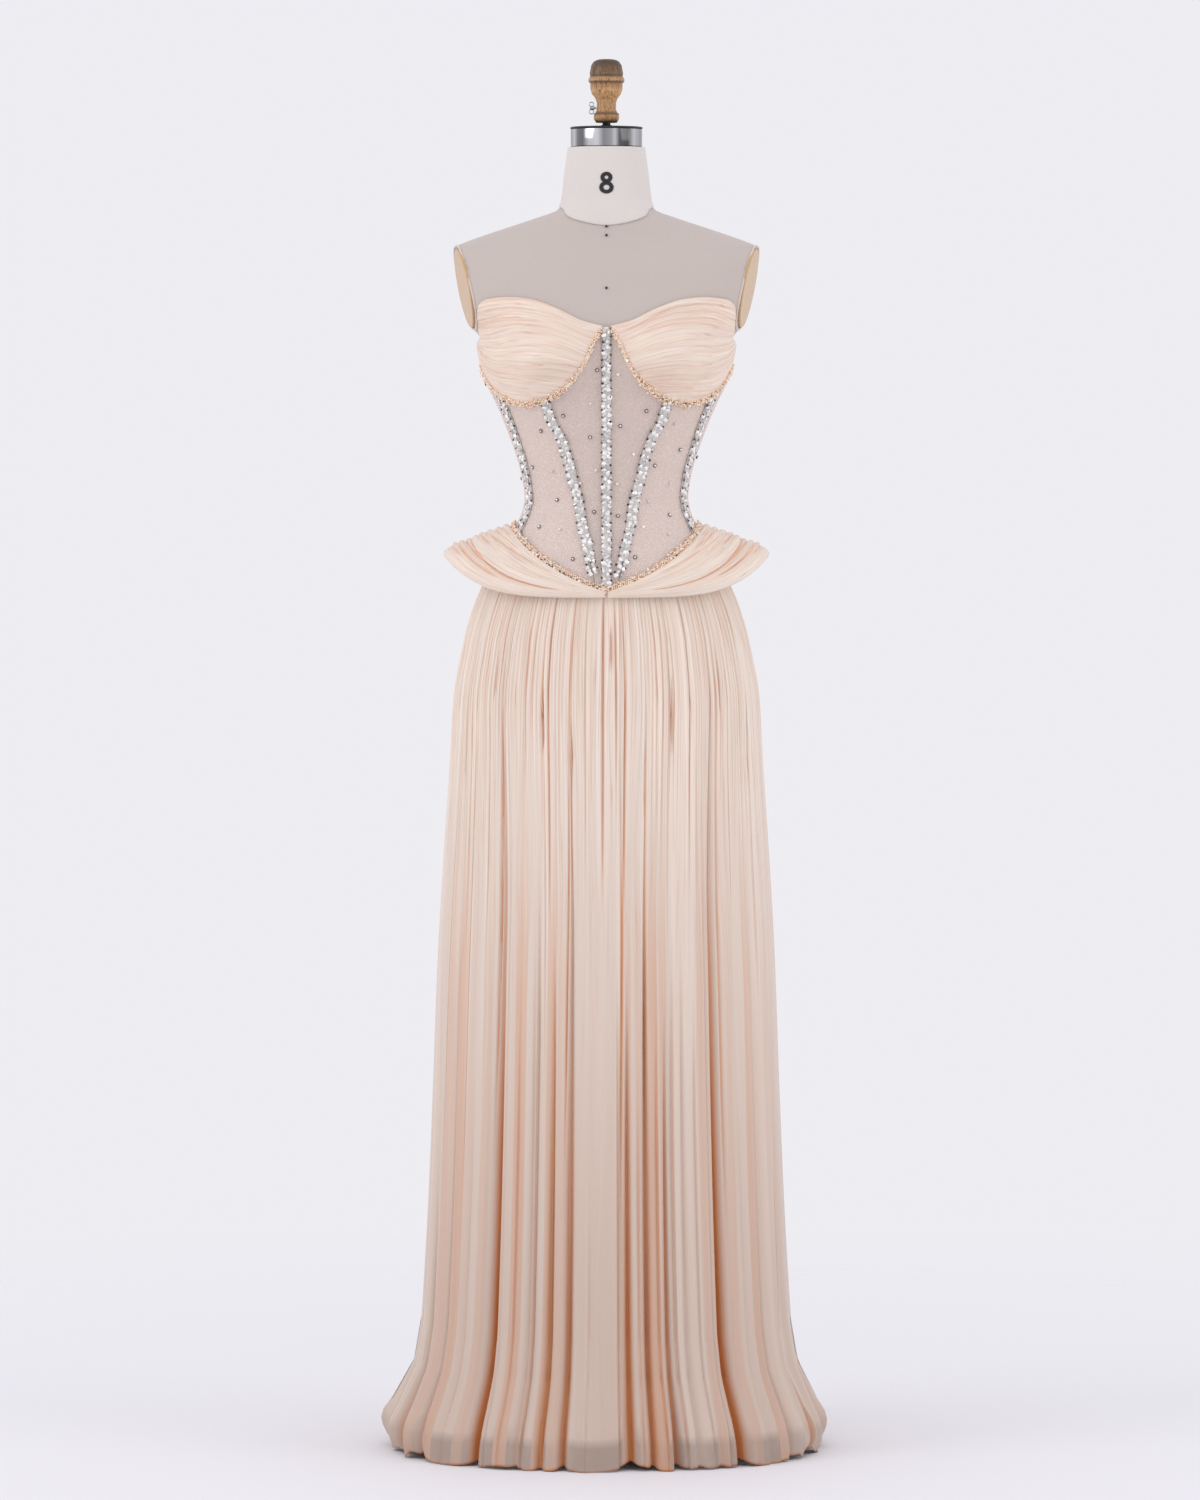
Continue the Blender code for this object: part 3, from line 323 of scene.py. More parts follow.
# Scattered stones and pearls on the front of the net, as (distance from the middle, height)
STONES = [(-155, 1332), (-129, 1301), (-53, 1292), (-80, 1273), (-20, 1265), (-90, 1228), (-109, 1214)]
STONES += [(-60, 1187), (-82, 1153), (-15, 1172), (14, 1167), (-41, 1114), (35, 1116), (77, 1168)]
STONES += [(59, 1230), (90, 1250), (49, 1298), (17, 1279), (-12, 1348), (111, 1241), (98, 1219)]
PEARLS = [(-20, 1307), (15, 1343), (83, 1282), (33, 1244), (-13, 1224), (-66, 1223), (-32, 1208)]
PEARLS += [(13, 1207), (51, 1185), (77, 1208), (-90, 1182), (-57, 1150), (45, 1153), (76, 1144)]

# The turned finial, as (height, radius)
FINIAL = [(1735.6, 6), (1735.2, 10), (1734, 13.5), (1732.5, 16), (1728, 19), (1717.4, 21), (1714.6, 20.2)]
FINIAL += [(1712.6, 21.4), (1710.4, 22.6), (1707.4, 22.3), (1705.6, 20.2), (1698, 20), (1692.5, 18.2)]
FINIAL += [(1686.5, 13.8), (1681.3, 12), (1673.6, 12), (1669.2, 13.6), (1667.6, 15.8), (1661.2, 15.8)]
FINIAL += [(1656.7, 13)]

# The camera of the photograph, the studio's floor and its two lights, in metres and watts
CAMERA_PLACE = (-0.008, -9.0, 1.25)
CAMERA_AIM = (-0.008, 0.0, 0.874)
CAMERA_LENS = 172.8
SENSOR = 36.0
FLOOR_RADIUS = 3.0
Light = namedtuple("Light", "name place size power")
LIGHTS = [
    Light("key", (-3.2, -1.9, 2.8), (2.0, 2.4), 32),
    Light("fill", (3.3, -1.7, 2.4), (2.0, 2.4), 21),
]
LIGHT_AIM = (0, 0, 1.0)


def srgb(code):
    """The hex colour as linear values."""
    values = [int(code[i : i + 2], 16) / 255 for i in (1, 3, 5)]
    linear = [v / 12.92 if v <= 0.04045 else ((v + 0.055) / 1.055) ** 2.4 for v in values]
    return (*linear, 1.0)


def curve(rows):
    """A smooth function through (place, value) rows that never overshoots them."""
    places = np.array([row[0] for row in rows], float)
    values = np.array([row[1] for row in rows], float)
    step = np.diff(places)
    slope = np.diff(values) / step
    tangent = np.zeros(len(places))
    tangent[0] = slope[0]
    tangent[-1] = slope[-1]
    for i in range(1, len(places) - 1):
        if slope[i - 1] * slope[i] > 0:
            tangent[i] = 2 * slope[i - 1] * slope[i] / (slope[i - 1] + slope[i])

    def value(place):
        at = np.clip(place, places[0], places[-1])
        i = np.clip(np.searchsorted(places, at) - 1, 0, len(step) - 1)
        t = (at - places[i]) / step[i]
        near = (1 + 2 * t) * (1 - t) ** 2 * values[i] + t * (1 - t) ** 2 * step[i] * tangent[i]
        far = t * t * (3 - 2 * t) * values[i + 1] - t * t * (1 - t) * step[i] * tangent[i + 1]
        return near + far

    return value


def ease(share):
    """0 below 0, 1 above 1, with a soft start and end."""
    t = np.clip(share, 0, 1)
    return t * t * (3 - 2 * t)


def tube(sections):
    """A surface of (turn, height) through rings with the sections' half widths and depths."""
    half_width = curve([(s.height, s.half_width) for s in sections])
    front = curve([(s.height, s.front) for s in sections])
    back = curve([(s.height, s.back) for s in sections])

    def surface(turn, height):
        turn, height = np.broadcast_arrays(np.asarray(turn, float), np.asarray(height, float))
        across = np.sin(np.radians(turn))
        along = np.cos(np.radians(turn))
        power = 2 / ROUNDNESS
        depth = np.where(along > 0, front(height), back(height))
        x = half_width(height) * np.sign(across) * np.abs(across) ** power
        y = -depth * np.sign(along) * np.abs(along) ** power
        return np.stack([x, y, height], axis=-1)

    return surface


body_tube = tube(BODY)
skirt_tube = tube(SKIRT)
lining_tube = tube(LINING_TUBE)


def body(turn, height, bust=1.0):
    """The body's surface, with the bust raised on the front."""
    point = body_tube(turn, height)
    x, z = point[..., 0], point[..., 2]
    facing = ease(np.cos(np.radians(turn)) / 0.4)
    rise = np.exp(-(((np.abs(x) - BUST_X) / BUST_WIDE) ** 2) - ((z - BUST_HEIGHT) / BUST_TALL) ** 2)
    point[..., 1] -= bust * BUST_RISE * rise * facing
    return point


def form_surface(turn, height):
    """The form's own surface, just inside the body."""
    return body(turn, height, bust=0.9)


def normals_of(grid):
    """Unit normals of a grid of points, outward where columns run round to the left and rows run up."""
    across = np.gradient(grid, axis=1)
    up = np.gradient(grid, axis=0)
    normal = np.cross(across, up)
    return normal / np.maximum(np.linalg.norm(normal, axis=-1, keepdims=True), 1e-9)


def lifted(surface, turn, height, rise):
    """Points of a surface moved out along its normal."""
    round_it = surface(turn + SLOPE_STEP, height) - surface(turn - SLOPE_STEP, height)
    up = surface(turn, height + SLOPE_STEP) - surface(turn, height - SLOPE_STEP)
    normal = np.cross(round_it, up)
    normal /= np.linalg.norm(normal, axis=-1, keepdims=True)
    return surface(turn, height) + normal * np.asarray(rise)[..., None]


neckline = curve(NECKLINE)
cup_foot = curve(CUP_FOOT)
front_bone_turn = curve([(height, turn) for turn, height in FRONT_BONE])
groove_share = curve(GROOVE_SHARE)


def hip_seam(turn):
    """Height of the corset's lower edge: a point at the front, high at the sides."""
    across = np.abs(np.sin(np.radians(turn)))
    front = POINT_HEIGHT + (HIP_SIDE_HEIGHT - POINT_HEIGHT) * (0.757 * across + 0.243 * across**2)
    back = HIP_SIDE_HEIGHT - (HIP_SIDE_HEIGHT - HIP_BACK_HEIGHT) * (1 - across)
    return np.where(np.cos(np.radians(turn)) > 0, front, back)


def front_turn(turn):
    """The turn folded onto the front, from -90 to 90."""
    turn = (turn + 180) % 360 - 180
    return np.where(np.abs(turn) > 90, np.sign(turn) * 180 - turn, turn)


def turned_from(turn, place):
    """Degrees from a place round the skirt, from -180 to 180."""
    return (turn - place + 180) % 360 - 180


def all_round(rows):
    """The front's rows, and the same ones turned round to the hidden back."""
    back = [row._replace(turn=180 - row.turn) for row in rows if abs(row.turn) < 80]
    return [row._replace(turn=row.turn % 360) for row in list(rows) + back]


def on_side(turns, sign):
    """These turns of the left side, or the same ones on the right side, rising either way."""
    return turns if sign > 0 else -turns[::-1]


def turn_at(x, height):
    """The turn of the front's point at that distance from the middle."""
    half_width = float(body_tube(90.0, float(height))[0])
    share = min(abs(x) / half_width, 1.0)
    return math.copysign(math.degrees(math.asin(share ** (ROUNDNESS / 2))), x)


def lay(grid, rise):
    """A grid of points moved out along its own normals."""
    return grid + normals_of(grid) * np.asarray(rise)[..., None]


def arc_length(grid, axis):
    """Running length along the grid's rows or columns, in the grid's units."""
    step = np.linalg.norm(np.diff(grid, axis=axis), axis=-1)
    start = np.zeros_like(np.take(step, [0], axis=axis))
    return np.concatenate([start, np.cumsum(step, axis=axis)], axis=axis)


def hollows(depth, reach):
    """How much deeper each column of the grid lies than the mean over reach columns on each side."""
    kernel = np.hanning(2 * reach + 3)[1:-1]
    kernel /= kernel.sum()
    padded = np.pad(depth, ((0, 0), (reach, reach)), mode="edge")
    around = np.array([np.convolve(row, kernel, mode="valid") for row in padded])
    return depth - around


Crease = namedtuple("Crease", "place slant start end depth width")


def creases(along, across, rows):
    """Sum of soft troughs that run along and are cut across, both in mm. A negative depth is a ridge."""
    total = np.zeros(along.shape)
    for row in rows:
        middle = row.place + row.slant * (along - (row.start + row.end) / 2)
        away = (across - middle) / row.width
        ends = ease((along - row.start) / CREASE_TAPER) * ease((row.end - along) / CREASE_TAPER)
        total += row.depth * np.exp(-away * away) * ends
    return total


def random_creases(seed, count, along, across, length, depth, width, slant):
    """That many creases at random places, each with its own length, depth, width and slant."""
    draw = np.random.default_rng(seed)
    rows = []
    for _ in range(count):
        long = draw.uniform(*length)
        start = draw.uniform(along[0] - long / 2, along[1] - long / 2)
        deep = draw.uniform(*depth) * draw.choice([1.0, 1.0, -0.6])
        place = draw.uniform(*across)
        rows.append(Crease(place, draw.normal(0, slant), start, start + long, deep, draw.uniform(*width)))
    return rows


# Meshes


def fresh(name, vertices, faces, finish):
    """A new object from points in mm and lists of corners."""
    mesh = bpy.data.meshes.new(name)
    mesh.from_pydata((np.asarray(vertices) * MM).tolist(), [], faces)
    mesh.shade_smooth()
    mesh.materials.append(finish)
    made = bpy.data.objects.new(name, mesh)
    bpy.context.scene.collection.objects.link(made)
    return made


def boundary(index):
    """The grid's outer corners in order, anticlockwise as seen from outside."""
    return np.concatenate([index[0, :-1], index[:-1, -1], index[-1, :0:-1], index[:0:-1, 0]])


def shell(name, outer, inner, finish, cloth, fold):
    """A closed thin wall: an outer grid, an inner one of every second row and column, and the edges.

    cloth holds each point's place on the flat cloth in metres. fold is how deep in a hollow it lies, 0 to 1,
    and sets the silk's painted shade there.
    """
    step = 2
    spare = slice(None, None, step)
    inner, inner_cloth, inner_fold = inner[spare, spare], cloth[spare, spare], fold[spare, spare]
    top = np.arange(outer.shape[0] * outer.shape[1]).reshape(outer.shape[:2])
    under = np.arange(inner.shape[0] * inner.shape[1]).reshape(inner.shape[:2]) + top.size
    outside = [top[:-1, :-1], top[:-1, 1:], top[1:, 1:], top[1:, :-1]]
    inside = [under[1:, :-1], under[1:, 1:], under[:-1, 1:], under[:-1, :-1]]
    faces = np.stack(outside, axis=-1).reshape(-1, 4).tolist()
    faces += np.stack(inside, axis=-1).reshape(-1, 4).tolist()
    rim, inner_rim = boundary(top).tolist(), boundary(under).tolist()
    rim.append(rim[0])
    inner_rim.append(inner_rim[0])
    for k in range(len(inner_rim) - 1):
        faces.append(rim[k * step : (k + 1) * step + 1][::-1] + [inner_rim[k], inner_rim[k + 1]])
    points = np.concatenate([outer.reshape(-1, 3), inner.reshape(-1, 3)])
    made = fresh(name, points, faces, finish)
    flat = np.concatenate([cloth.reshape(-1, 2), inner_cloth.reshape(-1, 2)])
    corner = np.empty(len(made.data.loops), np.int32)
    made.data.loops.foreach_get("vertex_index", corner)
    layer = made.data.uv_layers.new(name="cloth")
    layer.data.foreach_set("uv", flat[corner].astype(np.float32).ravel())
    depth = made.data.attributes.new("fold", "FLOAT", "POINT")
    values = np.concatenate([fold.ravel(), inner_fold.ravel()])
    depth.data.foreach_set("value", np.clip(values, 0, 1).astype(np.float32))
    return made


Template = namedtuple("Template", "points faces")


def template(add, **sizes):
    """The points and faces of a small primitive, made by an operator and taken away again."""
    bpy.ops.object.select_all(action="DESELECT")
    add(**sizes)
    made = bpy.context.object
    points = np.array([v.co for v in made.data.vertices])
    faces = [list(face.vertices) for face in made.data.polygons]
    mesh = made.data
    bpy.data.objects.remove(made)
    bpy.data.meshes.remove(mesh)
    return Template(points, faces)


def ball(segments, rings):
    """A sphere of radius 1 for small beads."""
    return template(bpy.ops.mesh.primitive_uv_sphere_add, segments=segments, ring_count=rings, radius=1.0)


def cone(corners, top, depth):
    """A cut-off cone of radius 1 for sequins and cut stones."""
    return template(bpy.ops.mesh.primitive_cone_add, vertices=corners, radius1=1.0, radius2=top, depth=depth)


def scatter(name, shape, places, frames, sizes, tones, finish, smooth=True):
    """One joined mesh with a copy of the template at each place, turned by its frame, with its own tone."""
    count = len(shape.points)
    points, faces = [], []
    for k, (place, axes, size) in enumerate(zip(places, frames, sizes)):
        points.append(place + (shape.points * size) @ axes)
        faces += [[v + k * count for v in face] for face in shape.faces]
    made = fresh(name, np.concatenate(points), faces, finish)
    if not smooth:
        made.data.shade_flat()
    tone = made.data.attributes.new("tone", "FLOAT", "POINT")
    tone.data.foreach_set("value", np.repeat(np.asarray(tones, np.float32), count))
    return made


def surface_frames(turn, height, rise, surface=body):
    """Points off a surface, and at each one its three axes: round, up and out."""
    turn, height = np.asarray(turn, float), np.asarray(height, float)
    point = lifted(surface, turn, height, np.broadcast_to(rise, turn.shape))
    round_it = surface(turn + SLOPE_STEP, height) - surface(turn - SLOPE_STEP, height)
    up = surface(turn, height + SLOPE_STEP) - surface(turn, height - SLOPE_STEP)
    out = np.cross(round_it, up)
    out /= np.linalg.norm(out, axis=-1, keepdims=True)
    up = up - out * (up * out).sum(axis=-1, keepdims=True)
    up /= np.linalg.norm(up, axis=-1, keepdims=True)
    return point, np.stack([np.cross(up, out), up, out], axis=-2)


def tilted(frames, draw, degrees):
    """Frames tipped by small random angles, as loosely sewn beads are."""
    made = []
    for axes in frames:
        tip = Matrix.Rotation(math.radians(draw.normal(0, degrees)), 3, "X")
        tip = tip @ Matrix.Rotation(math.radians(draw.normal(0, degrees)), 3, "Y")
        tip = tip @ Matrix.Rotation(draw.uniform(0, 2 * math.pi), 3, "Z")
        made.append(np.array(tip).T @ axes)
    return np.array(made)


def settle(piece, slot, *nodes):
    """The piece rides on the dress's body and stands for these CAD nodes, which it hides. The slot is not
    used.
    """
    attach(piece, ROOT)
    if nodes:
        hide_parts(*nodes)


# Materials


# Kinds of node: the type, the sockets that values go into in turn, the socket of the result, and settings
Kind = namedtuple("Kind", "type sockets result settings")
KINDS = {
    "attribute": Kind("ShaderNodeAttribute", [], "Fac", {}),
    "bump": Kind("ShaderNodeBump", ["Height", "Normal"], "Normal", {}),
    "cells": Kind("ShaderNodeTexVoronoi", ["Vector"], "Distance", {"feature": "DISTANCE_TO_EDGE"}),
    "length": Kind("ShaderNodeVectorMath", [0], "Value", {"operation": "LENGTH"}),
    "mapping": Kind("ShaderNodeMapping", ["Vector"], "Vector", {}),
    "mix": Kind("ShaderNodeMix", [0, 6, 7], 2, {"data_type": "RGBA"}),
    "noise": Kind("ShaderNodeTexNoise", ["Vector"], "Fac", {"Scale": 1.0}),
    "parts": Kind("ShaderNodeSeparateXYZ", ["Vector"], "X", {}),
    "place": Kind("ShaderNodeTexCoord", [], "Object", {}),
    "ramp": Kind("ShaderNodeValToRGB", ["Fac"], "Color", {}),
    "range": Kind("ShaderNodeMapRange", ["Value", "From Min", "From Max"], "Result", {}),
    "sum": Kind("ShaderNodeMath", [0, 1], "Value", {}),
}


def node(tree, kind, *values, stops=(), result=None, **settings):
    """Adds a node with its settings and stops, feeds values or results into it, and gives back its result."""
    known = KINDS[kind]
    made = tree.nodes.new(known.type)
    for key, value in {**known.settings, **settings}.items():
        if hasattr(made, key):
            setattr(made, key, value)
        else:
            made.inputs[key.replace("_", " ")].default_value = value
    for value, socket in zip(values, known.sockets):
        if hasattr(value, "links"):
            tree.links.new(value, made.inputs[socket])
        else:
            made.inputs[socket].default_value = value
    if stops:
        elements = made.color_ramp.elements
        while len(elements) < len(stops):
            elements.new(0.5)
        for element, (place, colour) in zip(elements, stops):
            element.position = place
            element.color = colour
    return made.outputs[result or known.result]


def new_material(name, **sockets):
    """A Principled material with these plain socket values. Returns the material, its tree and its shader."""
    made = bpy.data.materials.get(name) or bpy.data.materials.new(name)
    made.use_nodes = True
    tree = made.node_tree
    shader = tree.nodes["Principled BSDF"]
    for key, value in sockets.items():
        shader.inputs[key.replace("_", " ")].default_value = value
    return made, tree, shader


def pattern(tree, which, scale, detail=2.0, roughness=0.5):
    """Noise on the object's or the cloth's coordinates, with its own scale on each axis."""
    place = node(tree, "mapping", node(tree, "place", result=which), Scale=scale)
    return node(tree, "noise", place, Detail=detail, Roughness=roughness)


def shade(colour, share):
    """The colour darkened or lightened by a share."""
    return (*(min(v * share, 1.0) for v in colour[:3]), 1.0)


def between(one, two, share):
    """A colour between two linear colours."""
    return tuple(a + (b - a) * share for a, b in zip(one, two))


def silk(name, crest, hollow, streaks, run, alpha=None, foot=None):
    """Crinkled silk chiffon with a metallic thread, glossy along its crinkles, with painted glints on them
    and painted warm shade in its hollows.

    streaks is how strongly the crinkles show, with their painted shade and glints, and run their number along
    a metre. alpha is the cover of whole and of sheer cloth. foot is the share of brightness that the painted
    shade towards the hem leaves there, where the crinkles die out too.
    """
    made, tree, shader = new_material(name, Roughness=0.5, Sheen_Weight=0.25, Sheen_Roughness=0.35)
    shader.inputs["Specular IOR Level"].default_value = 0.4
    # fold paints the shade: a painted highlight lighter than the crest on ridges, then warmer and darker
    # painted shade deeper in the hollows
    near, deep = between(crest, hollow, 0.3), between(crest, hollow, 0.68)
    fold_shades = (0.0, shade(crest, 1.1)), (0.12, crest), (0.4, near), (0.7, deep), (1.0, shade(hollow, 0.92))
    tint = node(tree, "ramp", node(tree, "attribute", attribute_name="fold"), stops=fold_shades)
    # Crinkles 1.2 and 2.6 mm apart, a little coarser than the thread itself so that they show
    crinkle = pattern(tree, "UV", (820, run, 1), 2.0, 0.6)
    middle = pattern(tree, "UV", (380, run / 2, 1), 3.0, 0.75)
    # Thin lines of painted crease shade 8 mm apart, with no relief under them, and warmer patches 28 mm
    # across
    coarse = pattern(tree, "UV", (120, run / 5, 1), 2.0, 0.6)
    broad = pattern(tree, "UV", (36, 1.3, 1), 1.0)
    share = streaks
    if foot:
        tall = node(tree, "parts", node(tree, "place", result="UV"), result="Y")
        part = [(at, shade(WHITE, streaks * shown)) for at, shown in ((0.46, 0.12), (0.74, 0.5), (0.94, 1.0))]
        share = node(tree, "ramp", tall, stops=part)
    # Painted shade in the low parts of the crinkles, where their bump sinks
    for source, low, strength in ((crinkle, 0.8, 0.5), (middle, 0.72, 0.66)):
        dark = node(tree, "ramp", source, stops=[(0.36, shade(WHITE, low)), (0.47, WHITE)])
        cover = node(tree, "sum", share, strength, operation="MULTIPLY")
        tint = node(tree, "mix", cover, tint, dark, blend_type="MULTIPLY")
    # Painted shade along the thin creases
    line = node(tree, "ramp", coarse, stops=[(0.465, BLACK), (0.485, shade(WHITE, 0.7)), (0.495, BLACK)])
    line = node(tree, "sum", line, share, operation="MULTIPLY")
    tint = node(tree, "mix", line, tint, between(WHITE, hollow, 0.72), blend_type="MULTIPLY")
    # Painted glints on the high parts of the crinkles, lighter than the crest
    for source, strength in ((crinkle, 0.4), (middle, 0.85)):
        glint = node(tree, "ramp", source, stops=[(0.56, BLACK), (0.64, WHITE)])
        cover = node(tree, "sum", share, strength, operation="MULTIPLY")
        glint = node(tree, "sum", glint, cover, operation="MULTIPLY")
        tint = node(tree, "mix", glint, tint, shade(crest, 1.2), blend_type="LIGHTEN")
    patch = node(tree, "ramp", broad, stops=[(0.4, BLACK), (0.62, shade(WHITE, 0.5))])
    tint = node(tree, "mix", patch, tint, between(WHITE, hollow, 0.16), blend_type="MULTIPLY")
    # Painted shade, darker and warmer towards the hem
    if foot:
        at_hem = shade(between(WHITE, hollow, 0.14), foot)
        above = shade(between(WHITE, hollow, 0.1), 0.48 + foot / 2)
        hem_shade = node(tree, "ramp", tall, stops=[(0.0, at_hem), (0.4, above), (0.9, WHITE)])
        tint = node(tree, "mix", 1.0, tint, hem_shade, blend_type="MULTIPLY")
    tree.links.new(tint, shader.inputs["Base Color"])
    gloss = node(tree, "ramp", middle, stops=[(0.35, shade(WHITE, 0.62)), (0.65, shade(WHITE, 0.28))])
    tree.links.new(gloss, shader.inputs["Roughness"])
    below = node(tree, "bump", middle, Strength=0.35 * streaks, Distance=0.001)
    bump = node(tree, "bump", crinkle, below, Strength=0.35 * streaks, Distance=0.0004)
    tree.links.new(bump, shader.inputs["Normal"])
    if alpha:
        whole, thin = (shade(WHITE, cover) for cover in alpha)
        sheer = node(tree, "attribute", attribute_name="sheer")
        sheer = node(tree, "ramp", sheer, stops=[(0.0, whole), (1.0, thin)])
        tree.links.new(sheer, shader.inputs["Alpha"])
    return made


def satin(name, colour):
    """Acetate satin: a smooth close weave with a soft gloss."""
    made, tree, shader = new_material(name, Roughness=0.38, Sheen_Weight=0.15)
    thread = pattern(tree, "UV", (900, 900, 1), 1.0)
    tint = node(tree, "mix", pattern(tree, "UV", (14, 4, 1)), shade(colour, 0.9), colour)
    tree.links.new(tint, shader.inputs["Base Color"])
    bump = node(tree, "bump", thread, Strength=0.12, Distance=0.0002)
    tree.links.new(bump, shader.inputs["Normal"])
    return made


def net(name, colour, alpha=0.42):
    """Nylon tulle: fine many-sided holes, drawn 1.3 mm apart so that they show, with a thin soft sheen."""
    made, tree, shader = new_material(name, Roughness=0.55, Sheen_Weight=0.2)
    cells = node(tree, "cells", node(tree, "place", result="UV"), Scale=770.0)
    thread = node(tree, "ramp", cells, stops=[(0.0, WHITE), (0.16, shade(WHITE, 0.25))])
    hole, whole = shade(WHITE, alpha * 0.75), shade(WHITE, min(alpha * 1.5, 1.0))
    cover = node(tree, "ramp", thread, stops=[(0.25, hole), (1.0, whole)])
    tint = node(tree, "mix", pattern(tree, "UV", (40, 30, 1)), shade(colour, 0.95), colour)
    tree.links.new(tint, shader.inputs["Base Color"])
    tree.links.new(cover, shader.inputs["Alpha"])
    bump = node(tree, "bump", thread, Strength=0.3, Distance=0.0002)
    tree.links.new(bump, shader.inputs["Normal"])
    return made


def stones(name, colour, roughness):
    """Cut glass with foil behind it: each bead its own tone, the brightest painted as white glints, with
    painted shade and highlights mottled where its facets turn from the light.
    """
    made, tree, shader = new_material(name, Roughness=roughness, Metallic=0.3, Coat_Weight=0.6, IOR=1.55)
    # The top stop paints the brightest beads as white glints
    tones = [(0.0, 0.36), (0.35, 0.62), (0.7, 1.0), (0.85, 1.6)]
    stops = [(place, shade(colour, tone)) for place, tone in tones]
    grain = pattern(tree, "Object", (800, 800, 800), 1.0)
    # Painted shade and highlights over the facets
    facets = node(tree, "ramp", grain, stops=[(0.4, shade(colour, 0.34)), (0.52, shade(colour, 1.2))])
    tint = node(tree, "ramp", node(tree, "attribute", attribute_name="tone"), stops=stops)
    tint = node(tree, "mix", 0.3, tint, facets)
    tree.links.new(tint, shader.inputs["Base Color"])
    bump = node(tree, "bump", grain, Strength=0.5, Distance=0.0004)
    tree.links.new(bump, shader.inputs["Normal"])
    return made


def beads_finish(name, colour, roughness):
    """Small round beads: glossy glass over a coloured lining, no two quite alike."""
    made, tree, shader = new_material(name, Roughness=roughness, Coat_Weight=0.5, IOR=1.5)
    stops = (0.0, shade(colour, 0.84)), (0.5, colour), (1.0, shade(colour, 1.3))
    tint = node(tree, "ramp", node(tree, "attribute", attribute_name="tone"), stops=stops)
    tree.links.new(tint, shader.inputs["Base Color"])
    bump = node(tree, "bump", pattern(tree, "Object", (700, 700, 700)), Strength=0.15, Distance=0.0002)
    tree.links.new(bump, shader.inputs["Normal"])
    return made


def metal(name, colour, roughness):
    """A plated or polished metal with faint wear in its gloss."""
    made, tree, shader = new_material(name, Metallic=1.0)
    wear = pattern(tree, "Object", (60, 60, 60), 3.0, 0.6)
    stops = [(place, shade(WHITE, roughness * share)) for place, share in ((0.3, 0.7), (0.75, 1.4))]
    gloss = node(tree, "ramp", wear, stops=stops)
    tree.links.new(gloss, shader.inputs["Roughness"])
    tree.links.new(node(tree, "mix", wear, shade(colour, 0.85), colour), shader.inputs["Base Color"])
    return made


def along_axis(tree, axis, low, high):
    """The share, from 0 to 1, of the way from low to high along one axis of the object, in mm."""
    value = node(tree, "parts", node(tree, "place"), result=axis)
    return node(tree, "range", value, low * MM, high * MM)


def flagged_chrome(name, colour, reach):
    """Polished chrome in a studio: the upright dark and bright bands of its dark flags are painted in."""
    made, tree, shader = new_material(name, Metallic=1.0, Roughness=0.16)
    bands = [(0.0, 0.3), (0.05, 1.15), (0.1, 0.4), (0.17, 0.32), (0.25, 1.05), (0.37, 1.25), (0.46, 0.5)]
    bands += [(0.56, 0.66), (0.62, 1.1), (0.68, 0.22), (0.8, 0.16), (0.88, 1.1), (0.94, 0.8), (1.0, 0.3)]
    stops = [(place, shade(colour, tone)) for place, tone in bands]
    tint = node(tree, "ramp", along_axis(tree, "X", -reach, reach), stops=stops)
    tree.links.new(tint, shader.inputs["Base Color"])
    bump = node(tree, "bump", pattern(tree, "Object", (90, 90, 90), 2.0), Strength=0.04, Distance=0.0004)
    tree.links.new(bump, shader.inputs["Normal"])
    return made


def plastic(name, colour):
    """Moulded plastic or paint: even colour, a satin gloss and a very fine grain."""
    made, tree, shader = new_material(name, Roughness=0.42)
    grain = pattern(tree, "Object", (500, 500, 500), 2.0)
    tree.links.new(node(tree, "mix", grain, shade(colour, 0.88), colour), shader.inputs["Base Color"])
    bump = node(tree, "bump", grain, Strength=0.1, Distance=0.0003)
    tree.links.new(bump, shader.inputs["Normal"])
    return made


def jersey(name, colour):
    """Cotton over padding: a mottle of stitches 1.4 mm apart, coarser than real ones, and faint shading."""
    made, tree, shader = new_material(name, Roughness=0.85, Sheen_Weight=0.2, Sheen_Roughness=0.5)
    weave = pattern(tree, "Object", (700, 700, 700), 1.0)
    cloud = pattern(tree, "Object", (9, 9, 9), 2.0)
    tint = node(tree, "mix", cloud, shade(colour, 0.94), colour)
    stitch = node(tree, "ramp", weave, stops=[(0.3, shade(WHITE, 0.8)), (0.7, WHITE)])
    tint = node(tree, "mix", 0.25, tint, stitch, blend_type="MULTIPLY")
    tree.links.new(tint, shader.inputs["Base Color"])
    bump = node(tree, "bump", weave, Strength=0.25, Distance=0.0003)
    tree.links.new(bump, shader.inputs["Normal"])
    return made


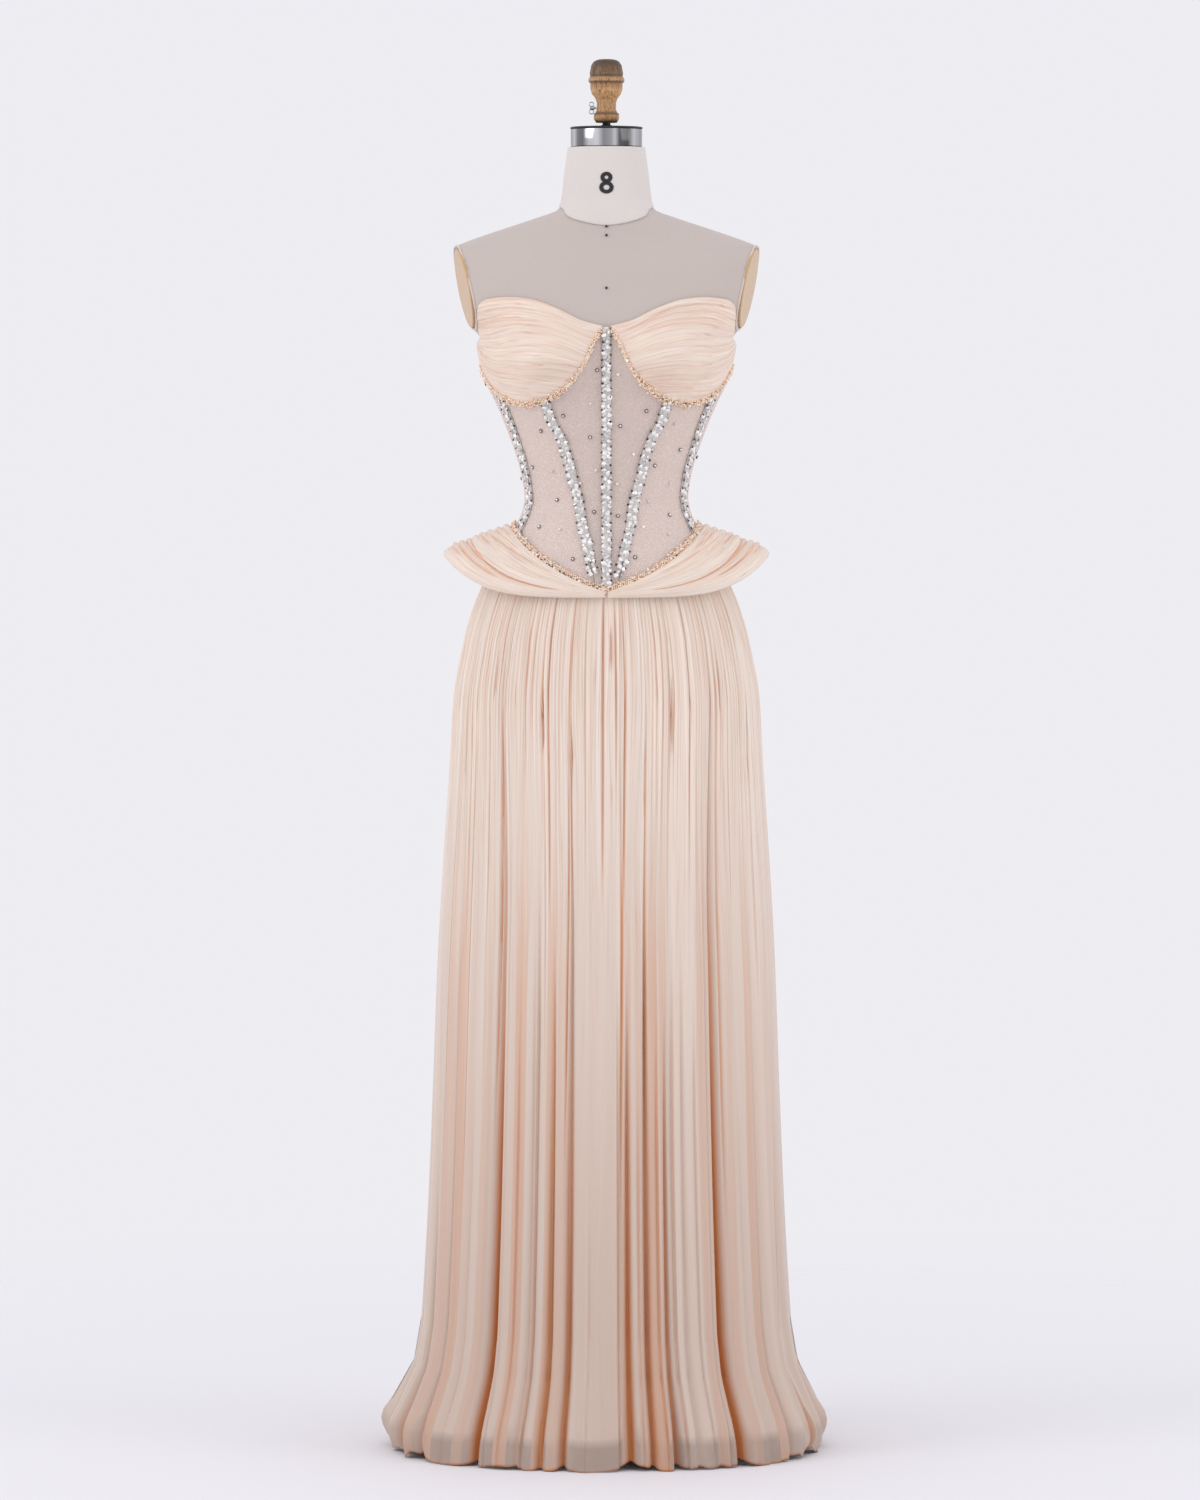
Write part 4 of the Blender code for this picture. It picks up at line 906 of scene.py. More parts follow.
def timber(name, colour, low, high):
    """Beech off the lathe: fine grain along the piece, darker towards the top, with painted shade in the
    rings' grooves and at its foot.
    """
    made, tree, shader = new_material(name, Roughness=0.5, Coat_Weight=0.15)
    grain = pattern(tree, "Object", (520, 520, 60), 4.0, 0.6)
    fleck = pattern(tree, "Object", (1100, 1100, 320), 2.0)
    stops = [(0.36, shade(colour, 0.5)), (0.5, colour), (0.66, shade(colour, 1.2))]
    tint = node(tree, "ramp", grain, stops=stops)
    pore = node(tree, "ramp", fleck, stops=[(0.4, shade(WHITE, 0.4)), (0.52, WHITE)])
    tint = node(tree, "mix", 0.6, tint, pore, blend_type="MULTIPLY")
    # Darker towards the top, with painted shade in the grooves between the rings and at the foot
    rings = [(0.0, 0.12), (0.04, 0.8), (0.1, 0.85), (0.14, 0.2), (0.19, 0.85), (0.5, 1.0), (0.6, 0.7)]
    rings += [(0.635, 0.2), (0.67, 0.9), (0.71, 0.7), (0.735, 0.14), (0.77, 0.34), (0.9, 0.2), (1.0, 0.08)]
    stops = [(place, shade(WHITE, tone)) for place, tone in rings]
    dark = node(tree, "ramp", along_axis(tree, "Z", low, high), stops=stops)
    tint = node(tree, "mix", 1.0, tint, dark, blend_type="MULTIPLY")
    tree.links.new(tint, shader.inputs["Base Color"])
    bump = node(tree, "bump", grain, Strength=0.2, Distance=0.0004)
    tree.links.new(bump, shader.inputs["Normal"])
    return made


def board(name, colour):
    """Lacquered plywood: pale face grain."""
    made, tree, shader = new_material(name, Roughness=0.35, Coat_Weight=0.3)
    grain = pattern(tree, "Object", (60, 500, 60), 3.0)
    tint = node(tree, "ramp", grain, stops=[(0.3, shade(colour, 0.82)), (0.65, colour)])
    tree.links.new(tint, shader.inputs["Base Color"])
    bump = node(tree, "bump", grain, Strength=0.1, Distance=0.0003)
    tree.links.new(bump, shader.inputs["Normal"])
    return made


# Cloth


def groove_depth(turn, height):
    """How far the skirt is drawn in between its largest folds, which start as thin lines."""
    deepest = np.zeros(turn.shape)
    for groove in all_round(GROOVES):
        begun = (groove.start - height) / GROOVE_ONSET
        width = groove.half_width * (0.35 + 0.65 * ease(begun * 0.5))
        shape = 1 / (1 + (turned_from(turn, groove.turn) / width) ** 2) ** GROOVE_FALL
        deepest = np.maximum(deepest, groove.depth * shape * ease(begun) * groove_share(height))
    return deepest * GROOVE_DRAW


def lap_depth(turn, height):
    """Fold edges that lie over the next fold, and how near each point lies to the shadow under one."""
    depth, shadow = np.zeros(turn.shape), np.zeros(turn.shape)
    for lap in all_round(LAPS):
        behind = np.cos(np.radians(lap.turn)) < 0
        away = turned_from(turn, lap.turn) * (-lap.side if behind else lap.side)
        shown = ease((lap.start - height) / 260) * ease((height + 60) / 120)
        beyond = ease(away / 0.26 + 0.5) * np.exp(-np.maximum(away, 0) / lap.reach)
        depth += lap.drop * beyond * shown
        shadow = np.maximum(shadow, np.exp(-(((away - 0.15) / 0.24) ** 2)) * shown * lap.drop / 6)
    return depth, shadow


def slit_depth(turn, height):
    """Short openings between the gathers, thin at the top and closed at the foot."""
    depth = np.zeros(turn.shape)
    for slit in all_round(SLITS):
        share = np.clip((slit.top - height) / (slit.top - slit.foot), 0, 1.2)
        width = 0.16 + 0.42 * share
        shown = ease(share * 2) * ease((1.12 - share) / 0.16)
        depth += slit.depth * np.exp(-((turned_from(turn, slit.turn) / width) ** 2)) * shown
    return depth


def panel_tint(turn, height):
    """How warm the folds are where several layers of chiffon lie over each other."""
    tint = np.zeros(turn.shape)
    for panel in all_round(PANELS):
        away = np.abs(turned_from(turn, panel.turn))
        tint += panel.tint * ease((panel.width - away) / 0.5 + 0.5)
    return tint * ease((PANEL_TOP - height) / 300)


Fold = namedtuple("Fold", "turn drift top bottom depth width")


def skirt_folds(kind):
    """Folds spaced round the skirt, each a soft trough that wanders a little on its way down."""
    draw = np.random.default_rng(kind.seed)
    rows = []
    for k in range(kind.count):
        turn = (k + draw.uniform(-kind.spread, kind.spread)) * 360 / kind.count
        ends = draw.uniform(*kind.top), draw.uniform(*kind.bottom)
        drift = draw.normal(0, kind.drift)
        rows.append(Fold(turn, drift, *ends, draw.uniform(*kind.depth), draw.uniform(*kind.width)))
    return rows


def fold_depth(turn, height, rows, fade):
    """The depth that these folds add at each point of the grid."""
    total = np.zeros(turn.shape)
    for row in rows:
        middle = row.turn + row.drift * (1 - height / SEAM_HEIGHT)
        away = turned_from(turn, middle) / row.width
        near = (np.abs(away) < 3).any(axis=0)
        if near.any():
            part = away[:, near]
            tall = height[:, near]
            shown = ease((row.top - tall) / fade[0]) * ease((tall - row.bottom) / fade[1] + 1)
            total[:, near] += row.depth * np.exp(-part * part) * shown
    return total


def fold_tones(turn, height, rows, seed):
    """A tone from -1 to 1 for each stretch of cloth between two of these folds."""
    ordered = sorted(rows, key=lambda row: row.turn)
    tones = np.random.default_rng(seed).uniform(-1, 1, len(ordered))
    found = np.zeros(turn.shape)
    for k, line in enumerate(turn):
        middles = [row.turn + row.drift * (1 - height[k, 0] / SEAM_HEIGHT) for row in ordered]
        found[k] = tones[np.searchsorted(np.sort(middles), line % 360) % len(ordered)]
    return found


def skirt_surface(turn, height):
    """The skirt before it is drawn into folds, and how far each point has come over to the hip seam."""
    away = np.radians(FAN_WAVE * np.clip(front_turn(turn), -FAN_REACH, FAN_REACH))
    fan = FAN_TURN * ease((height - FAN_START) / FAN_RISE) * np.sin(away)
    turned_by = turn + np.where(np.cos(np.radians(turn)) < 0, -fan, fan)
    hung = ease((height - SKIRT_TOP_LEVEL) / (hip_seam(turn) - HIP_SEAM_GAP - SKIRT_TOP_LEVEL))
    falling = skirt_tube(turned_by, height)
    sewn = lifted(body, turned_by, height, np.full(turn.shape, SKIRT_TOP))
    return falling + (sewn - falling) * hung[..., None], hung


def skirt_heights(turns):
    """The skirt's rows, close together at the hem and the hip seam, which the top row follows."""
    shares = np.concatenate([
        [0, 1.5, 3, 6, 11, 18, 28, 40],
        np.linspace(55, 900, 32),
        np.linspace(922, SKIRT_TOP_LEVEL, 6),
    ])
    seam = hip_seam(turns) - HIP_SEAM_GAP
    low = np.repeat(shares[:, None], len(turns), axis=1)
    rise = np.linspace(0, 1, 16)[1:-1, None]
    high = SKIRT_TOP_LEVEL + (seam - SKIRT_TOP_LEVEL) * rise
    top = seam[None] * np.ones((1, 1))
    return np.concatenate([low, high, top])


def drawn(point, depth):
    """Points moved level towards the middle."""
    flat = point * np.array([1, 1, 0])
    inward = flat / np.linalg.norm(flat, axis=-1, keepdims=True)
    return point - inward * depth[..., None]


def skirt_half(first, look):
    """Outer and inner grids of half the skirt, with its place on the cloth, its fold values for the painted
    shade of its hollows and the tints of its cloth, and its sheerness.
    """
    turns = np.linspace(first + SEAM_TURN, first + 180 - SEAM_TURN, SKIRT_COLUMNS)
    height = skirt_heights(turns)
    turn = np.repeat(turns[None], len(height), axis=0)
    point, hung = skirt_surface(turn, height)
    grooves = groove_depth(turn, height)
    laps, shadow = lap_depth(turn, height)
    slits = slit_depth(turn, height)
    fine = skirt_folds(FINE._replace(count=look.gathers))
    pinched, long, broad, scallops = (skirt_folds(kind) for kind in (PINCHED, LONG, BROAD, SCALLOPS))
    gathered = fold_depth(turn, height, fine, FINE.fade) + fold_depth(turn, height, pinched, PINCHED.fade)
    gathered = (gathered + fold_depth(turn, height, long, LONG.fade)) * (1 - 0.6 * hung)
    soft = fold_depth(turn, height, broad, BROAD.fade) + fold_depth(turn, height, scallops, SCALLOPS.fade)
    side = ease((np.abs(np.sin(np.radians(turn))) - 0.72) / 0.25)
    curl = np.sin(np.radians(turn * 31 + 40)) * np.sin(np.radians(turn * 7)) * side
    swell = np.where(np.sin(np.radians(turn)) < 0, 8.0, 4.0) * side + 7.0 * curl
    bulge = swell * np.exp(-(((height - 34) / 30) ** 2))
    tuck = 8.0 * side * ease((16 - height) / 16) ** 1.5 * (0.6 + 0.4 * np.sin(np.radians(turn * 23)))
    large = grooves + laps + slits + soft - bulge + tuck
    wave = np.sin(np.radians(turns * 17)) * np.sin(np.radians(turns * 5 + 40))
    lift = HEM_LIFT + 0.36 * np.clip(large[0], -4, 24) + 3.0 * wave + 8.0 * np.abs(curl[0])
    lift = np.maximum(lift, 0.2) * np.clip(1 - height / HEM_REACH, 0, 1) ** 2
    outer = drawn(point, large + gathered)
    inner = drawn(point, large + np.maximum(gathered, 0) + CHIFFON_WALL)
    outer[..., 2] += lift
    inner[..., 2] += lift
    layers = panel_tint(turn, height)
    # fold: painted shade in the grooves, slits, gathers' hollows and under the laps' edges, painted
    # highlights on the gathers' ridges, and the cloth's own warmer doubled panels, random tones and rolled
    # hem
    fold = 0.1 + np.clip(grooves / 15, 0, 1) ** 2 * 0.95 + shadow * 0.56 + np.clip(slits / 9, 0, 0.8) + layers
    fold += np.clip(hollows(gathered, 9) / 2.6, -0.1, 0.56)
    fold += 0.07 * fold_tones(turn, height, pinched, 43) * ease((height - 640) / 400)
    fold += 0.07 * fold_tones(turn, height, broad, 47)
    fold += 0.6 * ease((3.2 - height) / 1.5)
    across = arc_length(outer[6:7], 1)[0] * MM
    wander = 3.0 * np.sin(np.radians(turn * 9) + height / 110)
    wander = wander + 1.4 * np.sin(np.radians(turn * 31) - height / 52)
    cloth = np.stack([across[None] + wander * MM, height * MM], axis=-1)
    doubled = np.clip(layers * 3.4 + grooves / 12 + 0.55 * side, 0, 0.85)
    sheer = ease((SHEER_TOP + 3.0 * wave - height) / 6) * (1 - doubled)
    return outer, inner, cloth, fold, sheer


def build_skirt(look):
    """The gathered skirt, front and back, sheer below the lining's hem."""
    finish = silk("silk chiffon, crinkled", look.silk, look.hollow, 0.95, 5.0, alpha=(0.97, 0.5), foot=0.74)
    for name, first in (("skirt_front", -90), ("skirt_back", 90)):
        outer, inner, cloth, fold, sheer = skirt_half(first, look)
        made = shell(name + "_cloth", outer, inner, finish, cloth, fold)
        values = np.concatenate([sheer.ravel(), sheer[::2, ::2].ravel()])
        layer = made.data.attributes.new("sheer", "FLOAT", "POINT")
        layer.data.foreach_set("value", values.astype(np.float32))
        settle(made, "skirt_chiffon", name)


def build_lining(look):
    """The satin lining under the skirt, which ends above the hem."""
    finish = satin("acetate satin lining", look.lining)
    hem = [LINING_HEM, LINING_HEM + 1.5, LINING_HEM + 12, LINING_HEM + 14]
    for name, first in (("lining_front", -90), ("lining_back", 90)):
        turns = np.linspace(first + SEAM_TURN, first + 180 - SEAM_TURN, 121)
        low = np.concatenate([hem, np.linspace(90, LINING_LEVEL, 30)])
        seam = hip_seam(turns) - HIP_SEAM_GAP
        high = LINING_LEVEL + (seam - LINING_LEVEL) * np.linspace(0, 1, 20)[1:, None]
        height = np.concatenate([np.repeat(low[:, None], len(turns), axis=1), high])
        turn = np.repeat(turns[None], len(height), axis=0)
        over = ease((height - 900) / 90)[..., None]
        grids = []
        for rise in (LINING_OUTER, LINING_INNER):
            hung = lifted(lining_tube, turn, height, np.full(turn.shape, rise - LINING_OUTER))
            fitted = lifted(body, turn, height, np.full(turn.shape, rise))
            grids.append(hung + (fitted - hung) * over)
        wave = 2.2 * np.sin(np.radians(turn * 9)) * ease((700 - height) / 500)
        outer, inner = (drawn(grid, wave) for grid in grids)
        cloth = np.stack([arc_length(outer[:1], 1)[0] * MM * np.ones_like(height), height * MM], axis=-1)
        made = shell(name + "_satin", outer, inner, finish, cloth, 0 * height)
        settle(made, "lining_satin", name)


def rounded(share_from_edge):
    """0 at a cut edge and 1 a little way in, along a quarter round."""
    t = np.clip(share_from_edge, 0, 1)
    return np.sqrt(1 - (1 - t) ** 2)


def edge_round(grid, reach):
    """How far each point's outer face has come up from the edge, within reach mm of the border."""
    near = np.full(grid.shape[:2], 1e9)
    for axis in (0, 1):
        run = arc_length(grid, axis)
        total = np.take(run, [-1], axis=axis)
        near = np.minimum(near, np.minimum(run, total - run))
    return rounded(near / reach)


def cup_flow(turn, height):
    """Where a cup's creases run: 0 along the foot of the side and 1 along the front of the neckline."""
    away = np.abs(turn)
    low = np.where(away < 43, 1300 + 0 * away, cup_foot(away) - 7)
    high = np.where(away < 46, neckline(away), neckline(np.minimum(away, 46)) - 0.45 * (away - 46))
    return (height - low) / (high - low)


def draped_piece(turns, rows, flow, relief_rows):
    """Grids of a ruched piece of the bodice, creased along its flow, with cloth places and the painted shade
    of its hollows.
    """
    shares = np.linspace(0, 1, rows)
    turn = np.repeat(turns[None], rows, axis=0)
    away = np.abs(turn)
    height = cup_foot(away) + (neckline(away) - cup_foot(away)) * shares[:, None]
    base = lifted(body, turn, height, np.full(turn.shape, CUP_INNER))
    along = arc_length(base[rows // 2 : rows // 2 + 1], 1)[0] * np.ones_like(height)
    across = flow(turn, height) * CUP_SPAN
    trough = sum(creases(along, across, found) for found in relief_rows(float(along.max())))
    thick = (CUP_OUTER - CUP_INNER) * (0.15 + 0.85 * edge_round(base, 3.0))
    soft = 1.2 * np.sin(np.pi * shares)[:, None] ** 0.5
    full = CUP_FULLNESS * np.exp(-(((height - CUP_FULL_HEIGHT) / 22) ** 2))
    full = full * ease((away - 52) / 20) * ease((112 - away) / 20)
    rise = thick + (full + soft - trough) * edge_round(base, 5.0)
    outer = lay(base, np.maximum(rise, 0.25))
    wander = 1.5 * np.sin(along / 34 + across / 13) + 0.4 * np.sin(along / 13 - across / 19)
    cloth = np.stack([(across + wander) * MM, along * MM], axis=-1)
    # fold paints shade in the creases and a painted highlight on the ridges
    return outer, base, cloth, 0.2 + np.clip(trough / 5.0, -0.12, 0.2)


def build_cups(look):
    """The two ruched cups, creased along the neckline, across the middle and down from the side."""
    finish = silk("silk chiffon, ruched over the cups", look.silk, look.hollow, 0.62, 18)
    for k, (side, sign) in enumerate(SIDES):

        def found(length):
            """Fine creases everywhere, and a few deeper ones that run in and down from the side seam."""
            span = (0, length)
            tall = (-5, CUP_SPAN)
            fine = random_creases(151 + k, 420, span, tall, (20, 90), (0.12, 0.45), (0.5, 0.95), 0.05)
            soft = random_creases(101 + k, 22, span, tall, (60, 140), (0.15, 0.4), (1.2, 2.4), 0.04)
            draw = np.random.default_rng(181 + k)
            deep = []
            for place in np.linspace(34, 92, 6) + draw.normal(0, 2, 6):
                reach = draw.uniform(34, 60)
                start = length - reach if sign > 0 else -20
                end = length + 20 if sign > 0 else reach
                depth, width = draw.uniform(0.5, 0.9), draw.uniform(0.8, 1.2)
                deep.append(Crease(place, 0.42 * sign, start, end, depth, width))
            for place in np.linspace(98, 130, 9) + draw.normal(0, 1.4, 9):
                start = length * draw.uniform(0.1, 0.4)
                deep.append(Crease(place, 0.0, start, start + length * 0.5, draw.uniform(0.5, 1.0), 0.9))
            return fine, soft, deep

        turns = on_side(np.linspace(1.2, 90 - SEAM_TURN, CUP_COLUMNS), sign)
        outer, inner, cloth, fold = draped_piece(turns, CUP_ROWS, cup_flow, found)
        made = shell(f"cup_{side}_silk", outer, inner, finish, cloth, fold)
        settle(made, "draped_silk", f"cup_{side}")


def build_bands(look):
    """The ruched bands that carry the cups' line round the back to the zip."""
    finish = silk("silk chiffon, ruched over the band", look.silk, look.hollow, 1.0, 18)

    def flow(turn, height):
        """The share of the way up the band, scaled so that its creases are as wide as the cups'."""
        away = np.abs(turn)
        return (height - cup_foot(away)) / (neckline(away) - cup_foot(away)) * BAND_SHARE

    for k, (side, sign) in enumerate(SIDES):

        def found(length):
            """Creases along the band."""
            span, tall = (0, length), (0, CUP_SPAN * BAND_SHARE)
            soft = random_creases(201 + k, 22, span, tall, (45, 120), (0.3, 0.9), (1.3, 2.2), 0.02)
            return soft, random_creases(251 + k, 80, span, tall, (20, 70), (0.2, 0.5), (0.7, 1.2), 0.03)

        turns = on_side(np.linspace(90 + SEAM_TURN, BACK_EDGE_TURN, BAND_COLUMNS), sign)
        outer, inner, cloth, fold = draped_piece(turns, BAND_ROWS, flow, found)
        made = shell(f"back_band_{side}_silk", outer, inner, finish, cloth, fold)
        settle(made, "draped_silk", f"back_band_{side}")


def pleat_relief(away, share):
    """Depth of the peplum's folds below their crests, and how near each point lies to a fold's shadow."""
    depth, shadow = np.zeros(share.shape), np.zeros(share.shape)
    from_side = np.abs(90 - away)
    for pleat in PLEATS:
        run = np.clip((90 - pleat.end - from_side) / (90 - pleat.end), 0, 1)
        middle = pleat.front + (pleat.side - pleat.front) * run**1.4
        beyond = share - middle
        shown = ease(run * (90 - pleat.end) / 9) * ease((pleat.start - np.abs(away - 90) + 90) / 8 + 1)
        shape = ease(beyond / 0.012 + 0.5) * np.exp(-np.maximum(beyond, 0) / 0.075)
        depth += pleat.drop * shape * shown
        shadow = np.maximum(shadow, np.exp(-(((beyond - 0.008) / 0.012) ** 2)) * shown * pleat.drop / 2.4)
    return depth, shadow


def peplum_surface(turn, share):
    """The hip drape's inner face, from the hip seam (share 0) out and down to its edge (share 1)."""
    across = np.abs(np.sin(np.radians(turn)))
    top = lifted(body, turn, hip_seam(turn) - SEAM_GAP, np.full(turn.shape, PEPLUM_TOP))
    edge = tube([PEPLUM_EDGE, PEPLUM_EDGE._replace(height=PEPLUM_EDGE.height + 1)])(turn, PEPLUM_EDGE.height)
    edge[..., 2] += PEPLUM_TIP_LIFT * across**PEPLUM_TIP_POWER
    middle = top + (edge - top) * PEPLUM_BEND
    middle[..., 2] += PEPLUM_ARCH * across
    t = share[..., None]
    return (1 - t) ** 2 * top + 2 * t * (1 - t) * middle + t * t * edge


def build_peplum(look):
    """The hip peplum in two halves: folds gathered at the side that fan to the front, over a flat band."""
    finish = silk("silk chiffon, draped over the hips", look.silk, look.hollow, 0.8, 16)
    for k, (side, sign) in enumerate(SIDES):
        near, middle, far = np.linspace(0.25, 60, 101), np.linspace(60, 125, 101), np.linspace(125, 179.1, 61)
        turns = on_side(np.concatenate([near, middle[1:], far[1:]]), sign)
        shares = np.concatenate([np.linspace(0, 0.84, 85), np.linspace(0.84, 1, 13)[1:]])
        turn, share = np.meshgrid(turns, shares)
        base = peplum_surface(turn, share)
        away = np.abs(turn)
        along = arc_length(base[40:41], 1)[0] * np.ones_like(share)
        length = np.linalg.norm(base[-1] - base[0], axis=-1)[None] * np.ones_like(share)
        pleats, shadow = pleat_relief(away, share)
        size = np.minimum(1.0, length / 45)
        edges = [0.0] + [pleat.side for pleat in PLEATS]
        knuckle = np.zeros(share.shape)
        for low, high in zip(edges[:-1], edges[1:]):
            within = np.clip((share - low) / (high - low), 0, 1)
            knuckle += np.sin(np.pi * within) * 2.4 * np.exp(-(((away - 92) / 10) ** 2))
        flow = share * CUP_SPAN
        span, tall = (0, float(along.max())), (0, CUP_SPAN * 0.85)
        fine = random_creases(331 + k, 110, span, tall, (25, 110), (0.15, 0.45), (0.7, 1.4), 0.02)
        trough = creases(along, flow, fine)
        puff = 3.2 * np.sin(np.pi * np.clip((share - 0.6) / 0.4, 0, 1))
        thick = PEPLUM_WALL * (0.2 + 0.8 * edge_round(base, 2.5))
        rise = thick + (2.6 * size - pleats * size + knuckle + puff - trough) * edge_round(base, 6.0)
        outer = lay(base[::-1], np.maximum(rise, 0.3)[::-1])
        cloth = np.stack([flow * MM, along * MM], axis=-1)[::-1]
        # fold paints shade along the pleats' edges and in the creases, and a painted highlight on the ridges
        fold = 0.14 + shadow * size * 0.38 + np.clip(pleats / 16, 0, 0.16) + np.clip(trough / 6, -0.1, 0.16)
        made = shell(f"peplum_{side}_silk", outer, base[::-1], finish, cloth, fold[::-1])
        settle(made, "draped_silk", f"peplum_{side}")


# Net, strips and beads


def fixed(turn):
    """A line of one turn at every height."""
    return lambda height: turn + 0 * np.asarray(height, float)


def mirrored(line, sign):
    """The line of turns on that side."""
    return lambda height: sign * line(height)


def build_nets(look):
    """The corset's sheer panels between the bones, in front and behind."""
    finish = net("nylon tulle", look.net)
    # A lighter, more opaque copy of the tulle for the side panels: painted light, standing for the brighter
    # light on the sides
    lit_side_net = net("nylon tulle, painted lighter for the sides", shade(look.net, 1.03), 0.53)
    seam = 0.15
    panels = [
        ("net_front", fixed(1.2), lambda height: front_bone_turn(height) - seam),
        ("net_side_front", lambda height: front_bone_turn(height) + seam, fixed(SIDE_BONE_TURN - seam)),
        ("net_side", fixed(SIDE_BONE_TURN + seam), fixed(SIDE_BACK_BONE_TURN - seam)),
        ("net_back", fixed(SIDE_BACK_BONE_TURN + seam), fixed(BACK_EDGE_TURN)),
    ]
    across = np.linspace(0, 1, NET_COLUMNS)
    rows = np.linspace(0, 1, NET_ROWS)[:, None]
    for name, first, last in panels:
        low, high = np.full(NET_COLUMNS, 1100.0), np.full(NET_COLUMNS, 1340.0)
        # The edges lean, so the heights where they meet the seams are found by coming closer step by step
        for _ in range(14):
            low = 0.5 * (low + hip_seam(first(low) + (last(low) - first(low)) * across) + SEAM_GAP)
            high = 0.5 * (high + cup_foot(first(high) + (last(high) - first(high)) * across) - SEAM_GAP)
        height = low + (high - low) * rows
        turn = first(height) + (last(height) - first(height)) * across
        for side, sign in SIDES:
            found = turn if sign > 0 else -turn[:, ::-1]
            tall = height if sign > 0 else height[:, ::-1]
            outer = lifted(body, found, tall, np.full(found.shape, NET_OUTER))
            inner = lifted(body, found, tall, np.full(found.shape, NET_INNER))
            cloth = np.stack([arc_length(outer, 1) * MM, tall * MM], axis=-1)
            # The side panels take the tulle painted lighter
            cover = lit_side_net if name in ("net_side_front", "net_side") else finish
            made = shell(f"{name}_{side}_tulle", outer, inner, cover, cloth, 0 * tall)
            settle(made, "sheer_net", f"{name}_{side}")


def per_degree(turn, height):
    """Millimetres of the body's surface in one degree of turn."""
    return float(np.linalg.norm(body(turn + 0.5, height) - body(turn - 0.5, height)))


def bone_lines():
    """Each beaded strip's name, line of turns, foot and head."""
    centre_head = float(neckline(0.0)) - 1
    lines = [("bone_centre", fixed(0), POINT_HEIGHT + STRIP_GAP, centre_head)]
    found = [
        ("bone_front", front_bone_turn, 1111.0),
        ("bone_side", fixed(SIDE_BONE_TURN), float(hip_seam(SIDE_BONE_TURN)) + STRIP_GAP),
        ("bone_side_back", fixed(SIDE_BACK_BONE_TURN), float(hip_seam(SIDE_BACK_BONE_TURN)) + STRIP_GAP),
    ]
    for name, line, foot in found:
        head = float(cup_foot(line(1340.0))) - 3
        for side, sign in SIDES:
            lines.append((f"{name}_{side}", mirrored(line, sign), foot, head))
    return lines


def strip_grid(line, foot, head, low, high, width):
    """Points of a strip's face along its line, from low at its edges to high along its middle."""
    rows = []
    across = np.linspace(-1, 1, STRIP_COLUMNS)
    rise = low + (high - low) * np.sqrt(1 - across**2)
    for height in np.linspace(foot, head, STRIP_ROWS):
        middle = float(line(height))
        half = width / 2 / per_degree(middle, height)
        turns = middle + half * across
        tall = np.maximum(hip_seam(turns) + STRIP_GAP, height)
        rows.append(lifted(body, turns, tall, rise))
    return np.array(rows)


def build_strips(look):
    """The tulle strips over the bones, with their sequins in two columns and dark stones along both edges."""
    base = net("tulle strip, doubled", look.pearl, 0.75)
    glass = stones("glass sequins, foil backed", look.sequin, 0.14)
    dark = stones("cut glass, smoke", look.smoke, 0.08)
    draw = np.random.default_rng(401)
    sequin = cone(7, 0.5, 0.36)
    stone = cone(6, 0.45, 0.9)
    for name, line, foot, head in bone_lines():
        outer = strip_grid(line, foot, head, 2.6, 4.6, STRIP_WIDTH - 1)
        inner = strip_grid(line, foot, head, 2.2, 3.8, STRIP_WIDTH - 1)
        cloth = np.stack([arc_length(outer, 1) * MM, arc_length(outer, 0) * MM], axis=-1)
        made = shell(f"{name}_tulle", outer, inner, base, cloth, 0 * cloth[..., 0])
        settle(made, "beaded_strip", name)
        turns, heights, sizes, tones = [], [], [], []
        edge_turns, edge_heights = [], []
        bottom = foot if name == "bone_centre" else foot - STRIP_RUN_ON
        for row, height in enumerate(np.arange(bottom + 3, head - 1, SEQUIN_STEP)):
            middle = float(line(max(height, foot - 18)))
            scale = 1 / per_degree(middle, height)
            for column in (-1, 1):
                turns.append(middle + (column * 3.4 + draw.normal(0, 0.7)) * scale)
                heights.append(height + draw.normal(0, 0.8) + (1.8 if column > 0 else 0))
                # Every second sequin is painted bright, up to a white glint, as if it caught the light; the
                # rest are painted darker grey
                bright = (row + (column > 0)) % 2 == 0 and draw.random() < 0.85
                sizes.append(draw.uniform(2.9, 3.7) if bright else draw.uniform(2.4, 3.2))
                tones.append(draw.uniform(0.88, 1.0) if bright else draw.uniform(0.2, 0.8))
                if (row + (column > 0)) % 2 == 0:
                    edge_turns.append(middle + column * (6.0 + draw.normal(0, 0.5)) * scale)
                    edge_heights.append(height + SEQUIN_STEP / 2 + draw.normal(0, 0.8))
            if draw.random() < 0.4:
                turns.append(middle + draw.normal(0, 1.4) * scale)
                heights.append(height + SEQUIN_STEP / 2)
                sizes.append(draw.uniform(1.4, 2.2))
                tones.append(draw.uniform(0.6, 1))
        spots, frames = surface_frames(turns, heights, SEQUIN_RISE)
        frames = tilted(frames, draw, 22)
        beads = scatter(f"{name}_sequins", sequin, spots, frames, sizes, tones, glass, smooth=False)
        settle(beads, "beaded_strip")
        spots, frames = surface_frames(edge_turns, edge_heights, DARK_STONE_RISE)
        sizes, tones = draw.uniform(1.3, 1.9, len(spots)), draw.random(len(spots))
        frames = tilted(frames, draw, 8)
        beads = scatter(f"{name}_dark_stones", stone, spots, frames, sizes, tones, dark, smooth=False)
        settle(beads, "beaded_strip")


def trim_line(turns, heights, rise):
    """Points evenly spaced along an edge of the corset, a bead's width apart."""
    path = lifted(body, turns, heights, np.full(len(turns), rise))
    run = np.concatenate([[0], np.cumsum(np.linalg.norm(np.diff(path, axis=0), axis=-1))])
    at = np.arange(0, run[-1], TRIM_STEP)
    return np.interp(at, run, turns), np.interp(at, run, heights)


